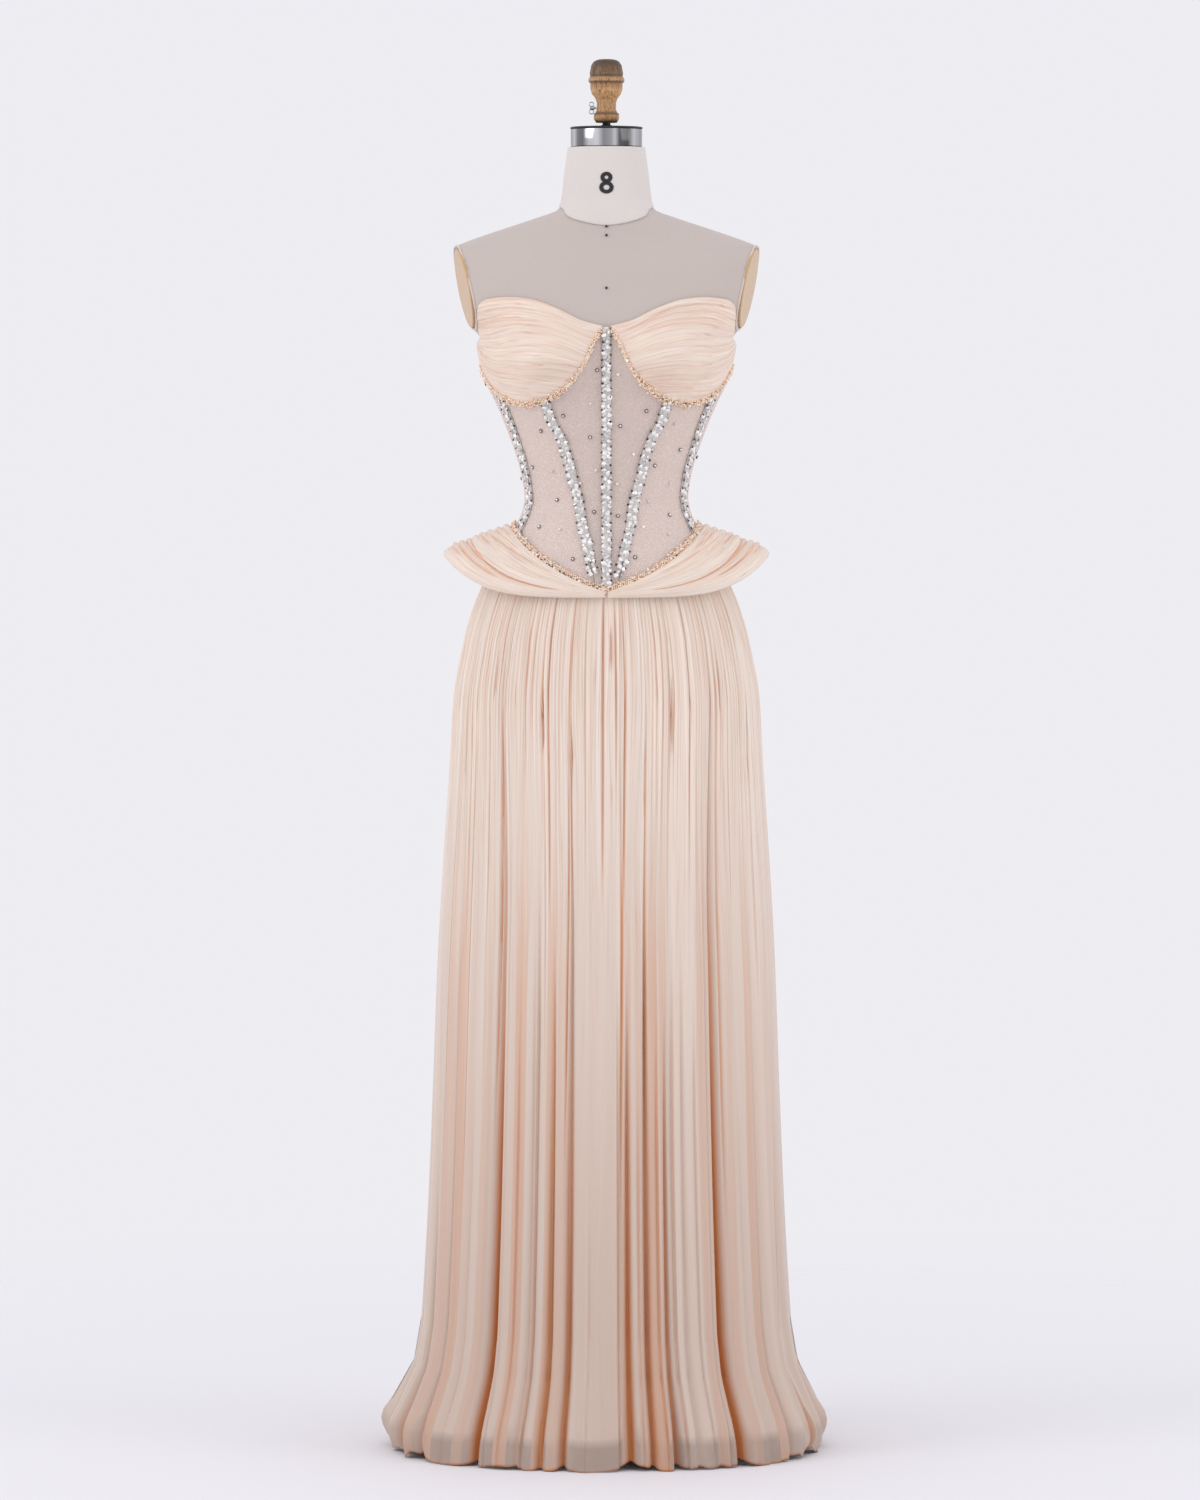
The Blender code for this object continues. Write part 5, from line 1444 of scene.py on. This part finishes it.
def build_trims(look):
    """Champagne beads clustered along the cups' feet and the corset's lower edge, with pearls among them."""
    gold = beads_finish("seed beads, champagne lined", look.gold, 0.2)
    pearl = beads_finish("glass pearls", look.pearl, 0.3)
    small, medium, large = ball(6, 4), ball(8, 5), ball(14, 8)
    draw = np.random.default_rng(431)
    around = np.linspace(-179, 179, 721)
    edges = [("hip_trim", around, hip_seam(around) + 2.4)]
    for side, sign in SIDES:
        turns = sign * np.linspace(1.6, 178, 361)
        edges.append((f"cup_trim_{side}", turns, cup_foot(np.abs(turns)) - 0.5))
    beds = [(-1, 0.9), (0, 0.9), (1, 0.9)]
    tops = [(-1, 0.5), (0, 0.5), (1, 0.5), (2, 0.22), (-2, 0.22)]
    for name, turns, heights in edges:
        along, tall = trim_line(turns, heights, 4.0)
        over = HIP_TRIM_LIFT if name == "hip_trim" else 0.0
        for word, shape, rows, low, radii in (
            ("bed", small, beds, 3.0, (1.3, 1.6)),
            ("beads", medium, tops, 4.2, (1.05, 1.6)),
        ):
            spots, frames, sizes, tones = [], [], [], []
            for row, share in rows:
                shown = draw.random(len(along)) < share
                off = row * TRIM_ROW_GAP + draw.normal(0, 0.6, len(along))
                lift = low + over + draw.random(shown.sum())
                found, axes = surface_frames(along[shown], tall[shown] + off[shown], lift)
                spots.append(found)
                frames.append(axes)
                sizes.append(draw.uniform(*radii, len(found)))
                tones.append(draw.random(len(found)))
            joined = [np.concatenate(found) for found in (spots, frames, sizes, tones)]
            settle(scatter(f"{name}_{word}", shape, *joined, gold), "draped_silk")
        pick = np.sort(draw.choice(len(along), len(along) // 8, replace=False))
        found, axes = surface_frames(along[pick], tall[pick] + draw.normal(0, 1.8, len(pick)), 5.4 + over)
        sizes, tones = draw.uniform(1.5, 2.1, len(found)), draw.random(len(found))
        settle(scatter(name + "_pearls", large, found, axes, sizes, tones, pearl), "draped_silk")


def build_stones(look):
    """Claw-set stones and pearls over the net, where the photograph shows them and again on the back."""
    clear = stones("cut glass, clear", look.sequin, 0.05)
    claw = metal("silver claws, antiqued", look.smoke, 0.35)
    pearl = beads_finish("glass pearls", look.pearl, 0.3)
    cut = cone(8, 0.5, 0.9)
    sizes = {"major_segments": 12, "minor_segments": 6, "major_radius": 1.0, "minor_radius": 0.22}
    ring = template(bpy.ops.mesh.primitive_torus_add, **sizes)
    draw = np.random.default_rng(461)

    def around(spots):
        """The front's spots, and the same ones turned round to the hidden back."""
        front = [(turn_at(x, z), z) for x, z in spots]
        return np.array(front + [(180 - turn if turn > 0 else -180 - turn, z) for turn, z in front])

    places = around(STONES)
    found, frames = surface_frames(places[:, 0], places[:, 1], 3.0)
    frames = tilted(frames, draw, 6)
    # Random tones; the brightest stones are painted as white glints
    sizes, tones = np.full(len(found), 1.95), draw.uniform(0.6, 1.0, len(found))
    made = scatter("scattered_stones", cut, found + frames[:, 2] * 0.7, frames, sizes, tones, clear, False)
    settle(made, "beaded_strip")
    made = scatter("stone_claws", ring, found, frames, sizes + 0.05, tones, claw)
    settle(made, "beaded_strip")
    places = around(PEARLS)
    found, frames = surface_frames(places[:, 0], places[:, 1], 3.6)
    sizes, tones = np.full(len(found), 1.9), draw.random(len(found))
    made = scatter("scattered_pearls", ball(14, 8), found, frames, sizes, tones, pearl)
    settle(made, "beaded_strip")


# The form and its stand


def neck_point(x, height, rise):
    """Points off the front of the neck at these distances from the middle."""
    share = np.clip(np.abs(x) / NECK_HALF_WIDTH, 0, 1) ** (ROUNDNESS / 2)
    turn = np.degrees(np.arcsin(share)) * np.sign(x)
    return lifted(form_surface, turn, height, np.broadcast_to(rise, turn.shape))


def build_marks(look):
    """The printed numeral on the neck, and the pins down the middle of the front."""
    ink = plastic("textile ink, black", look.black)
    angle = np.linspace(0, 2 * np.pi, 65)[None]
    for part, (middle, wide, tall) in zip(("upper", "lower"), NUMERAL):
        share = np.linspace(0, 1, 5)[:, None]
        across = (wide - NUMERAL_STROKE * share) * np.cos(angle)
        up = middle + (tall - NUMERAL_STROKE * 0.92 * share) * np.sin(angle)
        outer = neck_point(across, up, 1.95)
        inner = neck_point(across, up, 1.5)
        cloth = np.stack([across * MM, up * MM], axis=-1)
        made = shell(f"numeral_{part}_ring", outer, inner, ink, cloth, 0 * across)
        settle(made, "form_canvas")
    black = plastic("pin heads, enamelled black", look.black)
    found, frames = surface_frames(np.zeros(len(PINS)), PINS, 0.4, form_surface)
    made = scatter("pins", ball(14, 8), found, frames, np.full(len(PINS), 1.6), np.zeros(len(PINS)), black)
    settle(made, "form_jersey")


def primitive(name, add, **sizes):
    """A primitive on its own, named and active."""
    bpy.ops.object.select_all(action="DESELECT")
    add(**sizes)
    made = bpy.context.object
    made.name = name
    made.data.name = name
    return made


def finished(made, finish, angle=35, bevel=0.0):
    """Bevels the piece where asked, puts its place in its mesh, and shades and paints it."""
    if bevel:
        step = made.modifiers.new("edges", "BEVEL")
        step.width = bevel * MM
        step.segments = 2
        step.limit_method = "ANGLE"
        step.angle_limit = math.radians(35)
        bpy.context.view_layer.objects.active = made
        bpy.ops.object.modifier_apply(modifier=step.name)
    bpy.ops.object.select_all(action="DESELECT")
    made.select_set(True)
    bpy.context.view_layer.objects.active = made
    bpy.ops.object.transform_apply(location=True, rotation=True, scale=True)
    bpy.ops.object.mode_set(mode="EDIT")
    bpy.ops.mesh.select_all(action="SELECT")
    bpy.ops.mesh.normals_make_consistent(inside=False)
    bpy.ops.object.mode_set(mode="OBJECT")
    bpy.ops.object.shade_smooth_by_angle(angle=math.radians(angle))
    made.data.materials.clear()
    made.data.materials.append(finish)
    return made


def turned(name, profile, finish, centre=(0.0, 0.0), sides=64, bevel=0.0, angle=35):
    """A turned piece: a disc drawn up and widened or narrowed through (height, radius) rows."""
    x, y = centre[0] * MM, centre[1] * MM
    low, radius = profile[0]
    disc = {"vertices": sides, "radius": radius * MM, "fill_type": "NGON", "location": (x, y, low * MM)}
    made = primitive(name, bpy.ops.mesh.primitive_circle_add, **disc)
    bpy.ops.object.mode_set(mode="EDIT")
    bpy.ops.mesh.select_all(action="SELECT")
    for height, wide in profile[1:]:
        rise = (0, 0, (height - low) * MM)
        bpy.ops.mesh.extrude_region_move(TRANSFORM_OT_translate={"value": rise})
        ratio = wide / radius
        bpy.ops.transform.resize(value=(ratio, ratio, 1), center_override=(x, y, height * MM))
        low, radius = height, wide
    bpy.ops.object.mode_set(mode="OBJECT")
    return finished(made, finish, angle, bevel)


def form_ring_height(share):
    """Height of the form's rings: from its foot to the top of the neck."""
    return FORM_FOOT + (FORM_TOP - FORM_FOOT) * share


def arm_plane(sign):
    """A point on an armhole's flat face and its outward normal, in mm."""
    normal = Vector((sign * ARM_PLANE_NORMAL[0], ARM_PLANE_NORMAL[1], ARM_PLANE_NORMAL[2])).normalized()
    return Vector((sign * ARM_PLANE_POINT[0], ARM_PLANE_POINT[1], ARM_PLANE_POINT[2])), normal


def form_inset(height):
    """How far the form lies inside the body: more under the neck's canvas."""
    return 0.9 + 1.0 * ease((height - 1520) / 20)


def build_form(look):
    """The padded torso under its jersey, smooth and whole, cut flat and rimmed at the armholes."""
    finish = jersey("cotton jersey, stretched over padding", look.jersey)
    sphere = {"segments": 128, "ring_count": FORM_RINGS, "radius": 1.0}
    made = primitive("form_torso_jersey", bpy.ops.mesh.primitive_uv_sphere_add, **sphere)
    unit = np.array([v.co for v in made.data.vertices])
    turn = np.degrees(np.arctan2(unit[:, 0], -unit[:, 1]))
    share = 1 - np.arccos(np.clip(unit[:, 2], -1, 1)) / math.pi
    step = 1 / FORM_RINGS
    height = form_ring_height(np.clip((share - step) / (1 - 2 * step), 0, 1))
    point = lifted(form_surface, turn, height, -form_inset(height))
    point[:, 2] = height
    pole = np.hypot(unit[:, 0], unit[:, 1]) < 1e-4
    point[pole, :2] = 0
    made.data.vertices.foreach_set("co", (point * MM).astype(np.float32).ravel())
    made.data.update()
    for _, sign in SIDES:
        place, normal = arm_plane(sign)
        bpy.ops.object.mode_set(mode="EDIT")
        bpy.ops.mesh.select_all(action="SELECT")
        bpy.ops.mesh.bisect(plane_co=place * MM, plane_no=normal, use_fill=True, clear_outer=True)
        bpy.ops.object.mode_set(mode="OBJECT")
    finished(made, finish, 50)
    settle(made, "form_jersey", "form_torso")
    build_rims(look, made)


def arm_ring(made, sign):
    """The corners of the form's flat armhole face, in order round it, in mm."""
    _, normal = arm_plane(sign)
    faces = [f for f in made.data.polygons if f.normal.dot(normal) > 0.999 and f.center.x * sign > 0.1]
    face = max(faces, key=lambda f: f.area)
    return [made.data.vertices[i].co / MM for i in face.vertices]


def build_rims(look, torso):
    """The piping round each armhole."""
    finish = jersey("cotton bias piping", look.piping)
    for side, sign in SIDES:
        ring = arm_ring(torso, sign)
        bpy.ops.object.select_all(action="DESELECT")
        path = bpy.data.curves.new(f"armhole_piping_{side}", "CURVE")
        path.dimensions = "3D"
        path.bevel_depth = 1.5 * MM
        path.bevel_resolution = 3
        line = path.splines.new("POLY")
        spots = ring[::2]
        line.points.add(len(spots) - 1)
        _, normal = arm_plane(sign)
        for k, spot in enumerate(spots):
            line.points[k].co = ((spot + normal * 0.4) * MM).to_4d()
        line.use_cyclic_u = True
        made = bpy.data.objects.new(f"armhole_piping_{side}", path)
        bpy.context.scene.collection.objects.link(made)
        made.select_set(True)
        bpy.context.view_layer.objects.active = made
        bpy.ops.object.convert(target="MESH")
        made = bpy.context.object
        finished(made, finish, 60)
        settle(made, "form_jersey")


def neck_seam(turn):
    """Height of the neck cover's lower edge, which dips at the front."""
    facing = np.cos(np.radians(turn))
    dip = np.where(facing > 0, NECK_SEAM_SIDE - NECK_SEAM_FRONT, NECK_SEAM_SIDE - NECK_SEAM_BACK)
    return NECK_SEAM_SIDE - dip * (1 - np.abs(np.sin(np.radians(turn))) ** 1.15)


def build_neck(look):
    """The neck's canvas cover, the chromed band, the cap and the rod."""
    finish = jersey("cotton canvas", look.canvas)
    turns = np.linspace(-180, 180, 193)
    shares = np.linspace(0, 1, 65)[:, None]
    height = neck_seam(turns) + (FORM_TOP - 0.5 - neck_seam(turns)) * shares
    turn = np.repeat(turns[None], 65, axis=0)
    edge = rounded(np.minimum(height - neck_seam(turn), 8) / 8)
    seam = 0.5 * np.exp(-((turn / 1.9) ** 2)) * ease((1572 - height) / 10)
    outer = lifted(form_surface, turn, height, 0.2 + 1.0 * edge - seam)
    inner = lifted(form_surface, turn, height, np.full(turn.shape, -0.4))
    cloth = np.stack([arc_length(outer[:1], 1)[0] * MM * np.ones_like(height), height * MM], axis=-1)
    made = shell("neck_cover_canvas", outer, inner, finish, cloth, 0 * height)
    settle(made, "form_canvas", "neck_cover")
    chrome = flagged_chrome("chromed steel, polished", look.chrome, NECK_BAND_RADIUS)
    low = FORM_TOP + 0.4
    band = [(low, NECK_BAND_RADIUS), (low + 22, NECK_BAND_RADIUS)]
    settle(turned("neck_band_chrome", band, chrome, NECK_CENTRE, 96, 0.8), "chromed_band", "neck_band")
    black = plastic("ABS, black, moulded", look.black)
    low += 22.4
    cap = [(low, 45.2), (low + 2.4, 45.2)]
    settle(turned("neck_cap_disc", cap, black, NECK_CENTRE, 96, 0.7), "black_plastic", "neck_cap")
    low += 2.8
    rod = [(low, 7.4), (low + 1.6, 7.4), (low + 2.4, 5.0), (1656.3, 5.0)]
    settle(turned("finial_rod_black", rod, black, NECK_CENTRE, 40, 0.3), "black_plastic", "finial_rod")


def build_finial(look):
    """The turned wooden finial and the wing screw that clamps it."""
    profile = FINIAL[::-1]
    wood = timber("beech, turned and oiled", look.wood, profile[0][0], profile[-1][0])
    settle(turned("finial_beech", profile, wood, NECK_CENTRE, 72, angle=60), "turned_beech", "finial")
    steel = metal("steel, nickel plated", look.chrome, 0.25)
    parts = []
    quarter = math.radians(90)
    rods = [(-14.6, 1.5, 4.4), (-17.0, 2.8, 3.0), (-19.4, 1.9, 2.4)]
    for x, radius, length in rods:
        size = {"radius": radius * MM, "depth": length * MM, "vertices": 24, "rotation": (0, quarter, 0)}
        size["location"] = (x * MM, NECK_CENTRE[1] * MM, SCREW_HEIGHT * MM)
        parts.append(primitive("screw", bpy.ops.mesh.primitive_cylinder_add, **size))
    for lift in (-1, 1):
        place = (-18.6 * MM, NECK_CENTRE[1] * MM, (SCREW_HEIGHT + lift * 4.6) * MM)
        size = {"major_radius": 2.7 * MM, "minor_radius": 0.7 * MM, "major_segments": 24, "minor_segments": 8}
        size["location"] = place
        size["rotation"] = (quarter, 0, 0)
        parts.append(primitive("wing", bpy.ops.mesh.primitive_torus_add, **size))
    for part in parts:
        part.select_set(True)
    bpy.context.view_layer.objects.active = parts[0]
    bpy.ops.object.join()
    made = finished(bpy.context.object, steel)
    made.name = "thumb_screw_wings"
    settle(made, "stand_steel", "thumb_screw")


def repaint(name, finish):
    """The finish on a solid that stays as it was packed."""
    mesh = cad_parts[name].data
    mesh.materials.clear()
    mesh.materials.append(finish)


def build_plates(look):
    """The oval boards on the armholes."""
    finish = board("birch ply, lacquered", look.board)
    for side, _ in SIDES:
        repaint(f"arm_plate_{side}", finish)


def build_stand(look):
    """The pole and the round base, which the skirt hides."""
    steel = plastic("steel, powder coated", look.steel)
    pole = [(STAND_FLOOR + 0.4, 15.0), (FORM_FOOT - 0.4, 15.0)]
    settle(turned("stand_pole_tube", pole, steel, sides=48, bevel=0.6), "stand_steel", "stand_pole")
    repaint("stand_base", steel)


def build_zip(look):
    """The zip at the centre back."""
    tape = plastic("polyamide zip, dyed to match", look.silk)
    steel = metal("zinc, plated", look.chrome, 0.3)
    for name, finish in (("zip_strip", tape), ("zip_slider", steel), ("zip_pull", steel)):
        repaint(name, finish)


# The studio


def build_stage(look):
    """A pale floor that fades into an even pale surround, soft lights and the photograph's camera."""
    scene = bpy.context.scene
    scene.view_settings.view_transform = "Standard"
    world = bpy.data.worlds.new("even studio surround")
    world.use_nodes = True
    scene.world = world
    surround = world.node_tree.nodes["Background"]
    surround.inputs["Color"].default_value = srgb("#eeedf2")
    surround.inputs["Strength"].default_value = 1.0
    disc = {"vertices": 96, "radius": FLOOR_RADIUS, "fill_type": "NGON", "location": (0, 0, 0)}
    made = primitive("studio_floor", bpy.ops.mesh.primitive_circle_add, **disc)
    floor, tree, shader = new_material("painted floor, matt", Roughness=0.8)
    shader.inputs["Base Color"].default_value = srgb("#efeef2")
    away = node(tree, "length", node(tree, "place"))
    away = node(tree, "sum", away, FLOOR_RADIUS, operation="DIVIDE")
    fading = node(tree, "ramp", away, stops=[(0.12, WHITE), (0.85, BLACK)])
    tree.links.new(fading, shader.inputs["Alpha"])
    finished(made, floor)
    for light in LIGHTS:
        data = bpy.data.lights.new(light.name, "AREA")
        data.shape = "RECTANGLE"
        data.size, data.size_y = light.size
        data.energy = light.power
        lamp = bpy.data.objects.new(light.name, data)
        lamp.location = light.place
        way = Vector(LIGHT_AIM) - Vector(light.place)
        lamp.rotation_euler = way.to_track_quat("-Z", "Y").to_euler()
        scene.collection.objects.link(lamp)
    data = bpy.data.cameras.new("camera")
    data.lens = CAMERA_LENS
    data.sensor_width = SENSOR
    camera = bpy.data.objects.new("camera", data)
    camera.location = CAMERA_PLACE
    way = Vector(CAMERA_AIM) - Vector(CAMERA_PLACE)
    camera.rotation_euler = way.to_track_quat("-Z", "Y").to_euler()
    scene.collection.objects.link(camera)
    scene.camera = camera


# The add-on


def colour_choice(name, description, code):
    """A colour that a user may change."""
    return bpy.props.FloatVectorProperty(
        name=name, description=description, subtype="COLOR", size=4, min=0, max=1, default=srgb(code)
    )


class DressLook(bpy.types.PropertyGroup):
    """The sizes and colours that a user would change."""

    gathers: bpy.props.IntProperty(
        name="Gathers", description="Fine gathers round the whole skirt", default=330, min=60, max=400
    )
    silk: colour_choice("Silk", "The chiffon on its crests", "#eddfd2")
    # The hollow colour is the painted warm shade deep between the folds
    hollow: colour_choice("Silk in the hollows", "The chiffon deep between folds", "#e59656")
    lining: colour_choice("Lining", "The satin under the skirt", "#d9c3b2")
    net: colour_choice("Net", "The corset's tulle", "#f8e6dd")
    sequin: colour_choice("Sequins", "Foiled glass on the strips", "#e6e3e0")
    smoke: colour_choice("Smoke stones", "The dark cut glass", "#353130")
    gold: colour_choice("Gold beads", "The champagne beads of the trims", "#fbd9bf")
    pearl: colour_choice("Pearls", "The glass pearls", "#e9e2dc")
    jersey: colour_choice("Jersey", "The form's knitted cover", "#cbbfb8")
    piping: colour_choice("Piping", "The rim of the armholes", "#dccfc8")
    canvas: colour_choice("Canvas", "The neck's cover", "#e2dbd6")
    chrome: colour_choice("Chrome", "The neck band", "#c4c3c5")
    black: colour_choice("Black", "The cap and rod", "#1d1c1c")
    wood: colour_choice("Wood", "The finial", "#cf9d68")
    board: colour_choice("Board", "The armhole boards", "#cfa878")
    steel: colour_choice("Steel", "The hidden stand", "#8b8784")


class DRESS_OT_form(bpy.types.Operator):
    """Builds the padded torso and its piping"""

    bl_idname = "dress.form"
    bl_label = "Torso"

    def execute(self, context):
        build_form(context.scene.dress_look)
        return {"FINISHED"}


class DRESS_OT_neck(bpy.types.Operator):
    """Builds the neck's cover, band, cap and rod"""

    bl_idname = "dress.neck"
    bl_label = "Neck"

    def execute(self, context):
        build_neck(context.scene.dress_look)
        return {"FINISHED"}


class DRESS_OT_marks(bpy.types.Operator):
    """Builds the numeral and the pins on the form"""

    bl_idname = "dress.marks"
    bl_label = "Marks"

    def execute(self, context):
        build_marks(context.scene.dress_look)
        return {"FINISHED"}


class DRESS_OT_finial(bpy.types.Operator):
    """Builds the turned finial and its wing screw"""

    bl_idname = "dress.finial"
    bl_label = "Finial"

    def execute(self, context):
        build_finial(context.scene.dress_look)
        return {"FINISHED"}


class DRESS_OT_plates(bpy.types.Operator):
    """Finishes the boards on the armholes"""

    bl_idname = "dress.plates"
    bl_label = "Armhole boards"

    def execute(self, context):
        build_plates(context.scene.dress_look)
        return {"FINISHED"}


class DRESS_OT_stand(bpy.types.Operator):
    """Builds the pole and finishes the base"""

    bl_idname = "dress.stand"
    bl_label = "Stand"

    def execute(self, context):
        build_stand(context.scene.dress_look)
        return {"FINISHED"}


class DRESS_OT_lining(bpy.types.Operator):
    """Builds the satin lining"""

    bl_idname = "dress.lining"
    bl_label = "Lining"

    def execute(self, context):
        build_lining(context.scene.dress_look)
        return {"FINISHED"}


class DRESS_OT_nets(bpy.types.Operator):
    """Builds the sheer panels"""

    bl_idname = "dress.nets"
    bl_label = "Corset net"

    def execute(self, context):
        build_nets(context.scene.dress_look)
        return {"FINISHED"}


class DRESS_OT_strips(bpy.types.Operator):
    """Builds the strips with their sequins and stones"""

    bl_idname = "dress.strips"
    bl_label = "Beaded strips"

    def execute(self, context):
        build_strips(context.scene.dress_look)
        return {"FINISHED"}


class DRESS_OT_cups(bpy.types.Operator):
    """Builds the ruched cups"""

    bl_idname = "dress.cups"
    bl_label = "Cups"

    def execute(self, context):
        build_cups(context.scene.dress_look)
        return {"FINISHED"}


class DRESS_OT_bands(bpy.types.Operator):
    """Builds the ruched bands round the back"""

    bl_idname = "dress.bands"
    bl_label = "Back bands"

    def execute(self, context):
        build_bands(context.scene.dress_look)
        return {"FINISHED"}


class DRESS_OT_peplum(bpy.types.Operator):
    """Builds the draped peplum"""

    bl_idname = "dress.peplum"
    bl_label = "Peplum"

    def execute(self, context):
        build_peplum(context.scene.dress_look)
        return {"FINISHED"}


class DRESS_OT_skirt(bpy.types.Operator):
    """Builds the gathered skirt"""

    bl_idname = "dress.skirt"
    bl_label = "Skirt"

    def execute(self, context):
        build_skirt(context.scene.dress_look)
        return {"FINISHED"}


class DRESS_OT_trims(bpy.types.Operator):
    """Builds the beaded edges"""

    bl_idname = "dress.trims"
    bl_label = "Trims"

    def execute(self, context):
        build_trims(context.scene.dress_look)
        return {"FINISHED"}


class DRESS_OT_stones(bpy.types.Operator):
    """Builds the scattered stones and pearls"""

    bl_idname = "dress.stones"
    bl_label = "Stones and pearls"

    def execute(self, context):
        build_stones(context.scene.dress_look)
        return {"FINISHED"}


class DRESS_OT_zip(bpy.types.Operator):
    """Finishes the zip"""

    bl_idname = "dress.zip"
    bl_label = "Zip"

    def execute(self, context):
        build_zip(context.scene.dress_look)
        return {"FINISHED"}


class DRESS_OT_stage(bpy.types.Operator):
    """Builds the floor, lights and camera"""

    bl_idname = "dress.stage"
    bl_label = "Studio"

    def execute(self, context):
        build_stage(context.scene.dress_look)
        return {"FINISHED"}


OPERATORS = [
    DRESS_OT_form,
    DRESS_OT_neck,
    DRESS_OT_marks,
    DRESS_OT_finial,
    DRESS_OT_plates,
    DRESS_OT_stand,
    DRESS_OT_lining,
    DRESS_OT_nets,
    DRESS_OT_strips,
    DRESS_OT_cups,
    DRESS_OT_bands,
    DRESS_OT_peplum,
    DRESS_OT_skirt,
    DRESS_OT_trims,
    DRESS_OT_stones,
    DRESS_OT_zip,
    DRESS_OT_stage,
]


class DRESS_PT_pieces(bpy.types.Panel):
    """Lists the pieces in the order that they are made."""

    bl_idname = "DRESS_PT_pieces"
    bl_label = "Evening dress"
    bl_space_type = "VIEW_3D"
    bl_region_type = "UI"
    bl_category = "Evening dress"

    def draw(self, context):
        look = context.scene.dress_look
        for name in DressLook.__annotations__:
            self.layout.prop(look, name)
        for made in OPERATORS:
            self.layout.operator(made.bl_idname)


CLASSES = [DressLook, *OPERATORS, DRESS_PT_pieces]


def register():
    """Adds the look, the operators and the panel."""
    for made in CLASSES:
        bpy.utils.register_class(made)
    bpy.types.Scene.dress_look = bpy.props.PointerProperty(type=DressLook)


def unregister():
    """Takes them away again."""
    del bpy.types.Scene.dress_look
    for made in reversed(CLASSES):
        bpy.utils.unregister_class(made)


def main():
    """Makes every piece in order."""
    register()
    bpy.ops.dress.form()
    bpy.ops.dress.neck()
    bpy.ops.dress.marks()
    bpy.ops.dress.finial()
    bpy.ops.dress.plates()
    bpy.ops.dress.stand()
    bpy.ops.dress.lining()
    bpy.ops.dress.nets()
    bpy.ops.dress.strips()
    bpy.ops.dress.cups()
    bpy.ops.dress.bands()
    bpy.ops.dress.peplum()
    bpy.ops.dress.skirt()
    bpy.ops.dress.trims()
    bpy.ops.dress.stones()
    bpy.ops.dress.zip()
    bpy.ops.dress.stage()


if __name__ == "__main__":
    main()
